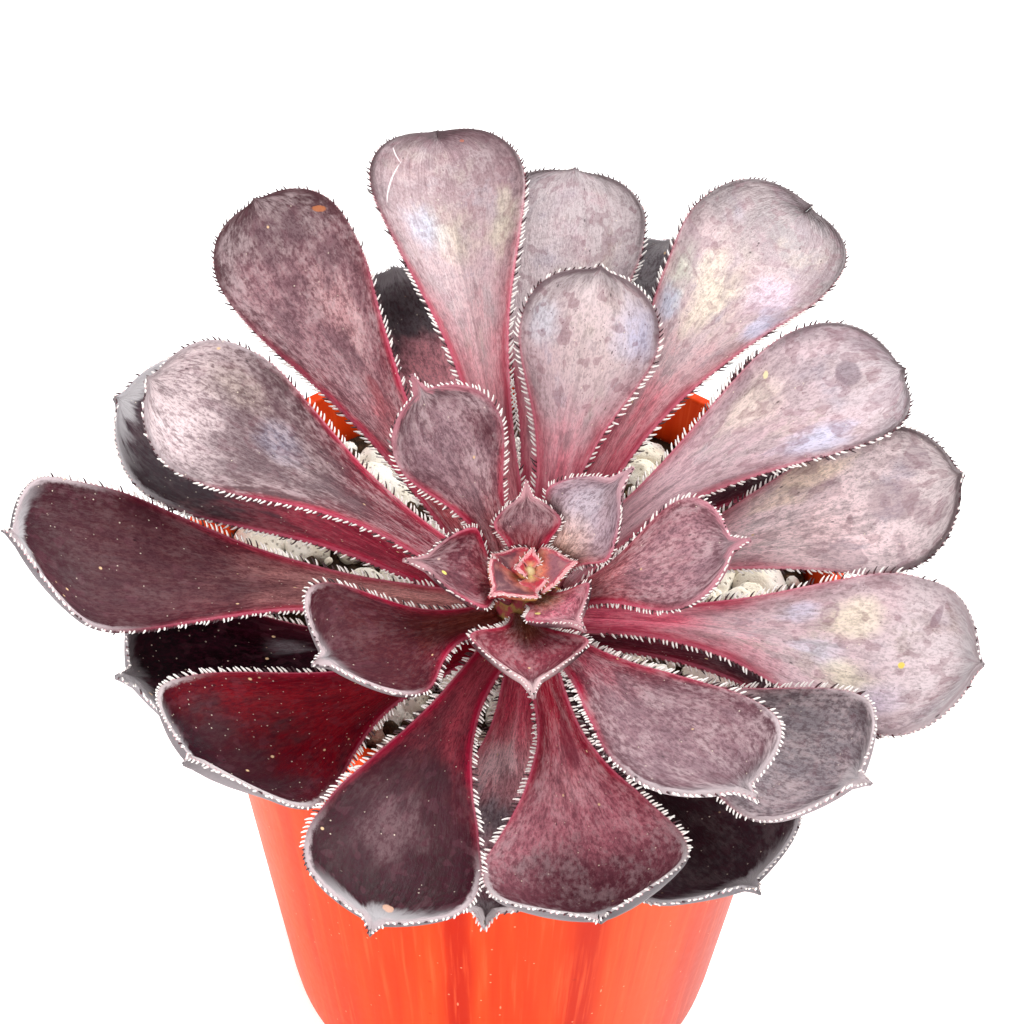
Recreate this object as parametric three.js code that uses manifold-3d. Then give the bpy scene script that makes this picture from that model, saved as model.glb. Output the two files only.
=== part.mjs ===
// Potted aeonium: a rosette of fleshy, spoon-shaped leaves on a short leaning stem, in a
// round nursery pot with a top dressing of stones. Millimetres, +Z up, with the origin at
// the middle of the pot's underside. The rosette leans towards -Y, the side it is seen from.

import * as THREE from "three";
import { mergeVertices } from "three/addons/utils/BufferGeometryUtils.js";
import Module from "manifold-3d";

const wasm = await Module();
wasm.setup();

// Driving dimensions of the pot
const POT_HEIGHT = 82;
const POT_BASE_RADIUS = 33;
const POT_RIM_RADIUS = 45;
const POT_LIP_STEP = 0.9;
const POT_LIP_DEPTH = 3.4;
const POT_WALL = 1.1;
const POT_FLOOR = 1.4;
const POT_SIDES = 48;
const DRAIN_SLOTS = 6;
const DRAIN_SLOT_WIDTH = 3.6;
const DRAIN_SLOT_LENGTH = 9;
const DRAIN_SLOT_REACH = 21;

// Driving dimensions of the filling
const CLEARANCE = 0.3;
const MIX_TOP = 69.5;
const STONE_BED_TOP = 74;
const STONE_COUNT = 104;
const STONE_RADIUS = 4.3;
const STONE_BED_SIDES = 48;

// Driving dimensions of the stem and the rosette
const CROWN = new THREE.Vector3(2, -26, 98);
const LEAN_DEG = 22;
const STEM_LENGTH = 40;
const STEM_RADIUS = 4.6;
const STEM_TIP_RADIUS = 1.7;
const STEM_TAPER = 6;
const STEM_SIDES = 16;
const GOLDEN_ANGLE_DEG = 137.5;
const FIRST_LEAF_DEG = 91;
const INNER_LEAVES = 8;
const INNER_SPACING = 0.6;
const OUTER_SPACING = 0.36;

// Driving dimensions of every leaf
const LEAF_BASE_HALF_WIDTH = 2.2;
const LEAF_BASE_THICKNESS = 1.5;
const LEAF_END_THICKNESS = 0.9;
const LEAF_EDGE_THICKNESS = 0.7;
const YOUNG_LEAF_WIDEST_AT = 0.58;
const GROWN_LEAF_WIDEST_AT = 0.8;
const GROWN_LEAF = 10;
const POINT_LENGTH = 2.4;
const BLUNT_POINT_LENGTH = 0.7;
const POINT_HALF_WIDTH = 3.4;
const POINT_REACH = 2.2;
const POINT_HOLLOW = 1.3;
const GROWN_HALF_WIDTH = 9;
const TIP_HALF_WIDTH = 0.35;
const LONGEST_POINT = 0.14;
const ROUND_OUTLINE = [2.4, 0.5];
const ACUTE_OUTLINE = [1.5, 0.8];
const LEAF_RINGS = [0, 0.14, 0.3, 0.45, 0.58, 0.69, 0.79, 0.87, 0.93, 0.97, 0.99, 1];
const LEAF_ACROSS = [-1, -0.55, 0, 0.55, 1];

// The leaves from the heart outwards. nudge turns a leaf off its golden-angle place, rise
// is its slope at the base and at the end, half is its half width, cup the half angle of
// its cross-section, roll and bend its twist and its sideways curve, all in degrees or
// millimetres. curl lifts the last fifth of the blade and notch dents its end. A blunt leaf
// has a shorter point, an acute one narrows towards it in nearly straight lines, and widest
// is the place of the greatest width.
const LEAVES = [
  { nudge: 4, length: 11.6, rise: [65, 52], half: 4.4, cup: 30, acute: true },
  { nudge: -14, length: 15.5, rise: [60, 38], half: 4.9, cup: 42, roll: 8, acute: true },
  { nudge: 16, length: 17.7, rise: [60, 34], half: 6, cup: 48, roll: -12, acute: true, widest: 0.46 },
  { nudge: 0, length: 19, rise: [68, 36], half: 6.4, cup: 36, acute: true, widest: 0.52 },
  { nudge: 6, length: 23.4, rise: [52, 34], half: 7.9, cup: 48, roll: -6, bend: 12, acute: true },
  { nudge: 6, length: 29, rise: [64, 32], half: 7.2, cup: 28, roll: -10, curl: 10 },
  { nudge: 1, length: 30.6, rise: [62, 32], half: 7.4, cup: 26, bend: 14, curl: 8 },
  { nudge: 8, length: 33, rise: [40, 34], half: 9.8, cup: 28, roll: 5, bend: 4, curl: 9 },
  { nudge: 6, length: 38.6, rise: [35, 20], half: 9, cup: 25, roll: 4, bend: 3, curl: 5, blunt: true },
  { nudge: 3, length: 49, rise: [52, 18], half: 10, cup: 26, roll: -14, bend: 15, curl: 12 },
  { nudge: 2, length: 50, rise: [32, 16], half: 10.2, cup: 22, roll: 6, bend: 2, curl: 12, blunt: true },
  { nudge: 20, length: 51.5, rise: [32, 4], half: 10, cup: 27, roll: -6, bend: -18, curl: -8, blunt: true },
  { nudge: 2.8, length: 55.2, rise: [34, 13], half: 10.1, cup: 23, roll: -8, bend: 20, curl: 30 },
  {
    nudge: 0, length: 70, rise: [30, -24], half: 10.6, cup: 27, bend: -4, curl: 5, notch: 2.4,
    blunt: true,
  },
  { nudge: 19, length: 53.8, rise: [30, 10], half: 10.2, cup: 24, roll: 9, bend: -5, curl: 30, blunt: true },
  { nudge: -6, length: 66, rise: [16, 36], half: 11, cup: 32, roll: 5, bend: 14, curl: 40 },
  {
    nudge: 12, length: 68, rise: [28, -22], half: 11, cup: 28, roll: 6, bend: -10, curl: 8, notch: 1.6,
    blunt: true,
  },
  { nudge: 9, length: 54.6, rise: [25, 30], half: 12, cup: 36, roll: 8, bend: -8, curl: 38 },
  { nudge: -4, length: 63, rise: [22, 0], half: 9.8, cup: 29, roll: -14, bend: -15, blunt: true },
  { nudge: 19, length: 52.6, rise: [24, 5], half: 9.8, cup: 20, roll: 5, bend: -10, curl: 40, blunt: true },
  { nudge: -4, length: 54.5, rise: [19, 40], half: 11.9, cup: 22, roll: 3, bend: 12, curl: 31 },
  { nudge: 4, length: 60, rise: [17, 1], half: 10.9, cup: 27, roll: -2, bend: -4, blunt: true },
  { nudge: 12, length: 53, rise: [24, 36], half: 10.5, cup: 26, bend: 3, curl: 20 },
  { nudge: -8, length: 54, rise: [20, 23], half: 11.3, cup: 27, roll: 6, curl: 12, blunt: true },
  { nudge: 9, length: 50, rise: [17, 2], half: 10, cup: 24, bend: -6, blunt: true },
  { nudge: 11.5, length: 44.2, rise: [20, 21], half: 11.2, cup: 26, curl: 14 },
  { nudge: -5, length: 50, rise: [11.5, -2], half: 11, cup: 25, curl: 6, blunt: true },
  { nudge: 10, length: 48, rise: [16, 6], half: 10.5, cup: 24 },
  { nudge: -2, length: 51, rise: [16, 25], half: 11.3, cup: 23, roll: 8, bend: 4, curl: 30 },
  { nudge: 8, length: 53, rise: [12, 7], half: 11.2, cup: 25, curl: 12, blunt: true },
  { nudge: 14, length: 51, rise: [22, 28], half: 11.3, cup: 22, bend: 3, curl: 24 },
];

// The heart's young leaves, from the outermost inwards, in the same terms as LEAVES. base is
// the half width at the base, and seat how far the base lies from the stem's axis.
const HEART = [
  { nudge: 0, length: 7.6, rise: [50, 26], half: 4.2, cup: 34, widest: 0.42, base: 1.2, seat: 1.2 },
  { nudge: -3, length: 6.1, rise: [28, 34], half: 3.3, cup: 18, widest: 0.2, base: 2.3, seat: 0.6 },
  { nudge: 16, length: 4.8, rise: [18, 18], half: 3, cup: 18, widest: 0.2, base: 2.2, seat: 0.5 },
  { nudge: 0, length: 3.6, rise: [30, 10], half: 2, cup: 30, widest: 0.42, base: 0.8, seat: 0.6 },
  { nudge: 24, length: 2.9, rise: [56, 50], half: 1.3, cup: 34, widest: 0.42, base: 0.6, seat: 0.5 },
  { nudge: 0, length: 2.5, rise: [50, 50], half: 1.2, cup: 34, widest: 0.42, base: 0.6, seat: 0.4 },
];
const HEART_SEAT = 1.4;
const HEART_SPACING = 0.2;
const HEART_RINGS = [0, 0.16, 0.3, 0.42, 0.6, 0.76, 0.87, 0.94, 1];

// Colours and finishes
const finishes = {
  pot: { color: 0xe8603a, roughness: 0.35, metalness: 0 },
  mix: { color: 0x3a2a20, roughness: 0.95, metalness: 0 },
  stones: { color: 0xe6e1d6, roughness: 0.9, metalness: 0 },
  stem: { color: 0x6b5a45, roughness: 0.8, metalness: 0 },
  heart: { color: 0x9aa14e, roughness: 0.5, metalness: 0 },
  leaf: { color: 0x6a3a44, roughness: 0.5, metalness: 0 },
};

function seededRandom(seed) {
  let state = seed;
  return () => {
    state = (state * 1664525 + 1013904223) % 4294967296;
    return state / 4294967296;
  };
}

function smoothStep(from, to, value) {
  const t = Math.min(1, Math.max(0, (value - from) / (to - from)));
  return t * t * (3 - 2 * t);
}

// A closed solid through rings of points, each ring in the same turning sense
function loftRings(rings) {
  const count = rings[0].length;
  const points = rings.flat();
  const faces = [];
  for (let ring = 0; ring + 1 < rings.length; ring += 1) {
    for (let i = 0; i < count; i += 1) {
      const next = (i + 1) % count;
      const a = ring * count + i;
      const b = ring * count + next;
      const c = a + count;
      const d = b + count;
      faces.push(a, b, d, a, d, c);
    }
  }
  const last = (rings.length - 1) * count;
  for (let i = 1; i + 1 < count; i += 1) {
    faces.push(0, i + 1, i);
    faces.push(last, last + i, last + i + 1);
  }
  const geometry = new THREE.BufferGeometry().setFromPoints(points);
  geometry.setIndex(faces);
  return geometry;
}

function solidOf(geometry) {
  const bare = geometry.clone();
  bare.deleteAttribute("normal");
  bare.deleteAttribute("uv");
  const merged = mergeVertices(bare, 1e-4);
  const vertProperties = new Float32Array(merged.getAttribute("position").array);
  const triVerts = new Uint32Array(merged.getIndex().array);
  return new wasm.Manifold(new wasm.Mesh({ numProp: 3, vertProperties, triVerts }));
}

function geometryOf(solid) {
  const mesh = solid.getMesh();
  const geometry = new THREE.BufferGeometry();
  geometry.setAttribute("position", new THREE.BufferAttribute(new Float32Array(mesh.vertProperties), 3));
  geometry.setIndex(new THREE.BufferAttribute(new Uint32Array(mesh.triVerts), 1));
  return geometry;
}

function turnedSolid(profile, sides) {
  const geometry = new THREE.LatheGeometry(profile.map(([r, z]) => new THREE.Vector2(r, z)), sides);
  return geometry.rotateX(Math.PI / 2);
}

function namedMesh(name, geometry, finish) {
  const shown = geometry.index ? geometry.toNonIndexed() : geometry;
  shown.computeVertexNormals();
  const mesh = new THREE.Mesh(shown, new THREE.MeshStandardMaterial(finish));
  mesh.name = name;
  return mesh;
}

// Pot: a thin tapered wall with a stepped lip, a flat floor and drain slots
function wallRadiusAt(z) {
  const topRadius = POT_RIM_RADIUS - POT_LIP_STEP;
  return POT_BASE_RADIUS + ((topRadius - POT_BASE_RADIUS) * z) / POT_HEIGHT;
}

function innerRadiusAt(z) {
  return wallRadiusAt(z) - POT_WALL;
}

function makePot() {
  const foot = 1.2;
  const lipBottom = POT_HEIGHT - POT_LIP_DEPTH;
  const lipRound = 0.5;
  const profile = [
    [0, 0],
    [POT_BASE_RADIUS - foot, 0],
    [wallRadiusAt(foot), foot],
    [wallRadiusAt(lipBottom), lipBottom],
    [POT_RIM_RADIUS - lipRound, lipBottom + lipRound],
    [POT_RIM_RADIUS, lipBottom + 2 * lipRound],
    [POT_RIM_RADIUS, POT_HEIGHT - lipRound],
    [POT_RIM_RADIUS - lipRound, POT_HEIGHT],
    [innerRadiusAt(POT_HEIGHT) + lipRound, POT_HEIGHT],
    [innerRadiusAt(POT_HEIGHT), POT_HEIGHT - lipRound],
    [innerRadiusAt(POT_FLOOR + foot), POT_FLOOR + foot],
    [innerRadiusAt(POT_FLOOR) - foot, POT_FLOOR],
    [0, POT_FLOOR],
  ];
  let pot = solidOf(turnedSolid(profile, POT_SIDES));
  for (let i = 0; i < DRAIN_SLOTS; i += 1) {
    pot = pot.subtract(solidOf(drainSlot((i * 360) / DRAIN_SLOTS)));
  }
  return geometryOf(pot);
}

function drainSlot(turnDeg) {
  const half = DRAIN_SLOT_WIDTH / 2;
  const straight = DRAIN_SLOT_LENGTH / 2 - half;
  const outline = new THREE.Shape();
  outline.absarc(straight, 0, half, -Math.PI / 2, Math.PI / 2, false);
  outline.absarc(-straight, 0, half, Math.PI / 2, (3 * Math.PI) / 2, false);
  const depth = 3 * POT_FLOOR;
  const slot = new THREE.ExtrudeGeometry(outline, { depth, bevelEnabled: false, curveSegments: 4 });
  slot.translate(DRAIN_SLOT_REACH, 0, -POT_FLOOR);
  return slot.rotateZ(THREE.MathUtils.degToRad(turnDeg));
}

// Rosette frame: the crown at the origin and the stem's axis along Z, leaning towards -Y
const rosette = new THREE.Group();
rosette.position.copy(CROWN);
rosette.rotation.x = THREE.MathUtils.degToRad(LEAN_DEG);
rosette.updateMatrixWorld(true);

function stemRadiusAt(z) {
  const taper = smoothStep(-STEM_TAPER, 0, z);
  return STEM_RADIUS + (STEM_TIP_RADIUS - STEM_RADIUS) * taper;
}

// Stem: a straight round stem that narrows into the crown
function makeStem(extra) {
  const profile = [[0, -STEM_LENGTH - extra]];
  const steps = [-STEM_LENGTH, -20, -STEM_TAPER, -4.5, -3, -1.5, 0];
  for (const z of steps) {
    const end = z === -STEM_LENGTH ? z - extra : z;
    profile.push([stemRadiusAt(z) + extra, end]);
  }
  profile.push([0, 0.4]);
  return turnedSolid(profile, STEM_SIDES);
}

function stemCutter() {
  return solidOf(makeStem(CLEARANCE).applyMatrix4(rosette.matrixWorld));
}

// Potting mix: fills the pot up to the stones, with a plain hole for the stem
function makePottingMix() {
  const low = POT_FLOOR + CLEARANCE;
  const bevel = 1.5;
  const profile = [
    [0, low],
    [innerRadiusAt(low) - bevel - CLEARANCE, low],
    [innerRadiusAt(low + bevel) - CLEARANCE, low + bevel],
    [innerRadiusAt(MIX_TOP) - CLEARANCE, MIX_TOP],
    [0, MIX_TOP],
  ];
  return geometryOf(solidOf(turnedSolid(profile, POT_SIDES)).subtract(stemCutter()));
}

// Top dressing: a thin bed of grit with pumice stones sunk into it
function makeTopDressing() {
  const random = seededRandom(7);
  const low = MIX_TOP + CLEARANCE;
  const profile = [
    [0, low],
    [innerRadiusAt(low) - CLEARANCE, low],
    [innerRadiusAt(low) - CLEARANCE, STONE_BED_TOP],
    [0, STONE_BED_TOP],
  ];
  const pieces = [solidOf(turnedSolid(profile, STONE_BED_SIDES))];
  const reach = innerRadiusAt(STONE_BED_TOP) - CLEARANCE - STONE_RADIUS;
  for (let i = 0; i < STONE_COUNT; i += 1) {
    const distance = reach * Math.sqrt((i + 0.5) / STONE_COUNT);
    const turn = THREE.MathUtils.degToRad(i * GOLDEN_ANGLE_DEG + 20 * random());
    pieces.push(stone(distance * Math.cos(turn), distance * Math.sin(turn), random));
  }
  return geometryOf(wasm.Manifold.union(pieces).subtract(stemCutter()));
}

function stone(x, y, random) {
  const size = STONE_RADIUS * (0.75 + 0.25 * random());
  const geometry = new THREE.IcosahedronGeometry(size, 0);
  geometry.rotateX(6 * random());
  geometry.rotateZ(6 * random());
  geometry.scale(1, 0.8 + 0.2 * random(), 0.75 + 0.2 * random());
  geometry.rotateZ(6 * random());
  geometry.translate(x, y, STONE_BED_TOP + 0.4 * random());
  return solidOf(geometry);
}

// Leaf: width, thickness and midrib as functions of s, which runs from the base to the tip
function halfWidthAt(s, shape, sizes) {
  const { half, length } = shape;
  if (s < sizes.widestAt) {
    const grow = smoothStep(0, 1, Math.pow(s / sizes.widestAt, 1.8));
    return sizes.baseHalf + (half - sizes.baseHalf) * grow;
  }
  const point = Math.min((shape.blunt ? BLUNT_POINT_LENGTH : POINT_LENGTH) / length, LONGEST_POINT);
  const x = Math.min(1, (s - sizes.widestAt) / (1 - point - sizes.widestAt));
  const [bow, fullness] = shape.acute ? ACUTE_OUTLINE : ROUND_OUTLINE;
  const blade = half * Math.pow(1 - Math.pow(x, bow), fullness);
  const nearTip = Math.min(1, (1 - s) / (POINT_REACH * point));
  const pointHalf = POINT_HALF_WIDTH * Math.min(1, half / GROWN_HALF_WIDTH);
  return Math.max(blade, TIP_HALF_WIDTH + pointHalf * Math.pow(nearTip, POINT_HOLLOW));
}

function directionAt(s, shape) {
  const curl = (shape.curl ?? 0) * smoothStep(0.72, 1, s);
  const rise = THREE.MathUtils.degToRad(shape.rise[0] + (shape.rise[1] - shape.rise[0]) * s + curl);
  const heading = THREE.MathUtils.degToRad((shape.bend ?? 0) * s);
  return new THREE.Vector3(
    Math.cos(rise) * Math.cos(heading),
    Math.cos(rise) * Math.sin(heading),
    Math.sin(rise),
  );
}

function midribAt(s, shape) {
  const steps = 24;
  const point = new THREE.Vector3();
  for (let i = 0; i < steps; i += 1) {
    const middle = (s * (i + 0.5)) / steps;
    point.addScaledVector(directionAt(middle, shape), (s * shape.length) / steps);
  }
  return point;
}

function leafRing(s, shape, sizes) {
  const along = directionAt(s, shape);
  const level = new THREE.Vector3(-along.y, along.x, 0).normalize();
  const upright = new THREE.Vector3().crossVectors(along, level);
  const roll = THREE.MathUtils.degToRad((shape.roll ?? 0) * smoothStep(0.1, 0.8, s));
  const side = level.clone().multiplyScalar(Math.cos(roll)).addScaledVector(upright, Math.sin(roll));
  const normal = upright.clone().multiplyScalar(Math.cos(roll)).addScaledVector(level, -Math.sin(roll));
  const centre = midribAt(s, shape);
  const half = halfWidthAt(s, shape, sizes);
  const cup = THREE.MathUtils.degToRad(shape.cup);
  const middle = sizes.baseThickness + (LEAF_END_THICKNESS - sizes.baseThickness) * s;
  const pullBack = (shape.notch ?? 0) * smoothStep(0.7, 1, s);
  const upper = [];
  const lower = [];
  for (const u of LEAF_ACROSS) {
    const angle = u * cup;
    const point = centre.clone();
    point.addScaledVector(side, (half / cup) * Math.sin(angle));
    point.addScaledVector(normal, (half / cup) * (1 - Math.cos(angle)));
    point.addScaledVector(along, -pullBack * Math.pow(1 - u * u, 2));
    const outward = normal.clone().multiplyScalar(Math.cos(angle)).addScaledVector(side, -Math.sin(angle));
    const thick = LEAF_EDGE_THICKNESS + (middle - LEAF_EDGE_THICKNESS) * (1 - u * u);
    upper.push(point.clone().addScaledVector(outward, thick / 2));
    lower.push(point.clone().addScaledVector(outward, -thick / 2));
  }
  return [...lower, ...upper.reverse()];
}

function leafBlade(shape, sizes, rings) {
  return loftRings(rings.map((s) => leafRing(s, shape, sizes)));
}

// Depth of a leaf's seat below the crown, which grows by one spacing from leaf to leaf
function seatDepth(index) {
  const inner = Math.min(index, INNER_LEAVES);
  const outer = Math.max(0, index - INNER_LEAVES);
  return 0.6 + inner * INNER_SPACING + outer * OUTER_SPACING;
}

function makeLeaf(index) {
  const shape = LEAVES[index];
  const grown = Math.min(1, index / GROWN_LEAF);
  const sizes = {
    baseHalf: LEAF_BASE_HALF_WIDTH,
    baseThickness: LEAF_BASE_THICKNESS,
    widestAt: shape.widest ?? THREE.MathUtils.lerp(YOUNG_LEAF_WIDEST_AT, GROWN_LEAF_WIDEST_AT, grown),
  };
  const depth = seatDepth(index);
  const tuck = (LEAF_BASE_THICKNESS / 2) * Math.sin(THREE.MathUtils.degToRad(shape.rise[0]));
  const reach = stemRadiusAt(-depth) + CLEARANCE + tuck;
  const turnDeg = FIRST_LEAF_DEG - GOLDEN_ANGLE_DEG * index + shape.nudge;
  const blade = leafBlade(shape, sizes, LEAF_RINGS);
  blade.translate(reach, 0, -depth);
  return blade.rotateZ(THREE.MathUtils.degToRad(turnDeg));
}

// Heart: the tiny unopened leaves, fused to a small dome on top of the stem
function makeHeart() {
  const dome = [
    [0, 0.7],
    [1.7, 0.7],
    [1.6, 1.6],
    [1, 2.3],
    [0, 2.6],
  ];
  const pieces = [solidOf(turnedSolid(dome, 10))];
  HEART.forEach((shape, i) => {
    const sizes = { baseHalf: shape.base, baseThickness: 1, widestAt: shape.widest };
    const blade = leafBlade({ ...shape, acute: true }, sizes, HEART_RINGS);
    const turnDeg = FIRST_LEAF_DEG + GOLDEN_ANGLE_DEG * (i + 1) + shape.nudge;
    blade.translate(shape.seat, 0, HEART_SEAT + (i + 1) * HEART_SPACING);
    blade.rotateZ(THREE.MathUtils.degToRad(turnDeg));
    pieces.push(solidOf(blade));
  });
  return geometryOf(wasm.Manifold.union(pieces));
}

const aeonium = new THREE.Group();
aeonium.add(namedMesh("pot", makePot(), finishes.pot));
aeonium.add(namedMesh("potting_mix", makePottingMix(), finishes.mix));
aeonium.add(namedMesh("top_dressing", makeTopDressing(), finishes.stones));
aeonium.add(rosette);
rosette.add(namedMesh("stem", makeStem(0), finishes.stem));
rosette.add(namedMesh("heart", makeHeart(), finishes.heart));
for (let index = 0; index < LEAVES.length; index += 1) {
  const name = `leaf_${String(index).padStart(2, "0")}`;
  rosette.add(namedMesh(name, makeLeaf(index), finishes.leaf));
}

export default aeonium;
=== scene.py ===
import math

import bpy
import numpy as np
from mathutils import Matrix


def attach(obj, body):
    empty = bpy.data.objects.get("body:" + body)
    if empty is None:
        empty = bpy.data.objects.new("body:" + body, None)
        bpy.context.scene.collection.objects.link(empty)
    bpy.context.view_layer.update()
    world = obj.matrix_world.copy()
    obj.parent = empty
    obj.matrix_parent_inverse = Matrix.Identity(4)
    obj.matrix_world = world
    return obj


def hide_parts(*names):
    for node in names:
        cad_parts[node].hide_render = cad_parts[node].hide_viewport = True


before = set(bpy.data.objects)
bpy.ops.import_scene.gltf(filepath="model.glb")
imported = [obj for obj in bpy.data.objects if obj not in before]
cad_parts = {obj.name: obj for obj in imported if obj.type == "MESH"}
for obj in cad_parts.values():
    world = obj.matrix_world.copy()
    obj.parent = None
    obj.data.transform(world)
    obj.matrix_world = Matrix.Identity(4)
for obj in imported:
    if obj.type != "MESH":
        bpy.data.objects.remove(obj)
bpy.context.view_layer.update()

# Potted aeonium: finer leaves with their hairs, heart, stem, stones and pot.
# Lengths are in millimetres until a mesh is made, and the frame is the model's own.
MM = 0.001
CLEARANCE = 0.3

# Driving dimensions of the pot and its filling
POT_HEIGHT = 82
POT_BASE_RADIUS = 33
POT_RIM_RADIUS = 45
POT_LIP_STEP = 0.9
POT_LIP_DEPTH = 3.4
POT_LIP_ROUND = 0.6
POT_INNER_ROUND = 0.45
POT_FOOT_ROUND = 1.2
POT_WALL = 1.1
POT_FLOOR = 1.4
POT_SIDES = 144
DRAIN_SLOTS = 6
DRAIN_SLOT_WIDTH = 3.6
DRAIN_SLOT_LENGTH = 9
DRAIN_SLOT_REACH = 21
MIX_TOP = 69.5
STONE_BED_TOP = 74
STONE_COUNT = 104
STONE_RADIUS = 4.3
STONE_SWELL = 1.04
STONE_FLATS = 9
STONE_FLAT_REACH = (0.66, 0.9)
STONE_FLATNESS = 0.86
STONE_BUMPS = 0.035
STONE_PITS = 0.02
BED_SIDES = 96
BED_RINGS = 46
BED_LUMPS = 0.35
GRIT_COUNT = 520
GRIT_RADII = (0.5, 1.5)
PALE_GRIT = 0.6

# Driving dimensions of the stem and the rosette
CROWN = np.array([2.0, -26.0, 98.0])
LEAN_DEG = 22
LEAN = math.radians(LEAN_DEG)
LEAN_TURN = np.array([
    [1, 0, 0],
    [0, math.cos(LEAN), -math.sin(LEAN)],
    [0, math.sin(LEAN), math.cos(LEAN)],
])
STEM_LENGTH = 40
STEM_RADIUS = 4.6
STEM_TIP_RADIUS = 1.7
STEM_TAPER = 6
STEM_DOME = 0.4
STEM_SIDES = 72
SCAR_DEPTH = 0.035
BARK_ROUGHNESS = 0.012
GOLDEN_ANGLE_DEG = 137.5
FIRST_LEAF_DEG = 91
FIRST_SEAT_DEPTH = 0.6
INNER_LEAVES = 8
INNER_SPACING = 0.6
OUTER_SPACING = 0.36

# Driving dimensions of every leaf
LEAF_BASE_HALF_WIDTH = 2.2
LEAF_BASE_THICKNESS = 1.5
LEAF_END_THICKNESS = 0.9
LEAF_EDGE_THICKNESS = 0.7
YOUNG_LEAF_WIDEST_AT = 0.58
GROWN_LEAF_WIDEST_AT = 0.8
GROWN_LEAF = 10
MATURE_LENGTH = 40
BASE_FLARE = 1.8
CURL_START = 0.72
POINT_LENGTH = 2.4
BLUNT_POINT_LENGTH = 0.7
POINT_HALF_WIDTH = 3.4
POINT_REACH = 2.2
POINT_HOLLOW = 1.3
GROWN_HALF_WIDTH = 9
TIP_HALF_WIDTH = 0.14
LONGEST_POINT = 0.14
ROUND_OUTLINE = (2.4, 0.5)
ACUTE_OUTLINE = (1.5, 0.8)
MIDRIB_STEPS = 240
MIDRIB_GROOVE = 0.28
SKIN_SWELL = 0.3
EDGE_WAVE = 0.014
RIPPLE_WAVES = 5

# Cross-sections of a leaf: runs along it with their number of sections, and points across
LEAF_RINGS = [(0, 0.7, 26), (0.7, 0.93, 18), (0.93, 1, 15)]
YOUNG_LEAF_RINGS = [(0, 0.6, 9), (0.6, 0.9, 10), (0.9, 1, 8)]
YOUNG_LENGTH = 12
LEAF_COLUMNS = 23
EDGE_SCALE = 12.0

# Hairs. The knots are places along one hair and the profile its thickness there. Lean, lift
# and bow are a mean and a spread, the lengths a least and a greatest share.
HAIR_LENGTH = 0.95
HAIR_LENGTHS = (0.75, 1.1)
HAIR_SHORTENING = 0.4
HAIR_SPACING = 0.66
HAIR_LEAN = (0.5, 0.14)
HAIR_LIFT = (0, 0.18)
HAIR_BOW = (0.35, 0.1)
HAIR_SINK = 0.1
HAIR_RADIUS = 0.14875
# Dark hairs, which are painted shadow between the pale hairs, are thinner
SHADOW_HAIR_RADIUS = 0.1225
HAIR_SIDES = 5
HAIR_KNOTS = (0, 0.35, 0.68, 0.92, 1.0)
HAIR_PROFILE = (1.0, 0.95, 0.8, 0.5, 0.1)
HAIR_START = 0.1
MARGIN_STEP = 0.004
SMALLEST_HAIR = 0.55
# Share of the dark hairs, which are painted shadow, how much it grows near a leaf's end, and how much it
# shrinks where the end has painted sheen
SHADOW_HAIR_SHARE = 0.25
END_SHADOW_HAIRS = 0.3
SHEEN_END_PALING = 0.1

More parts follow.
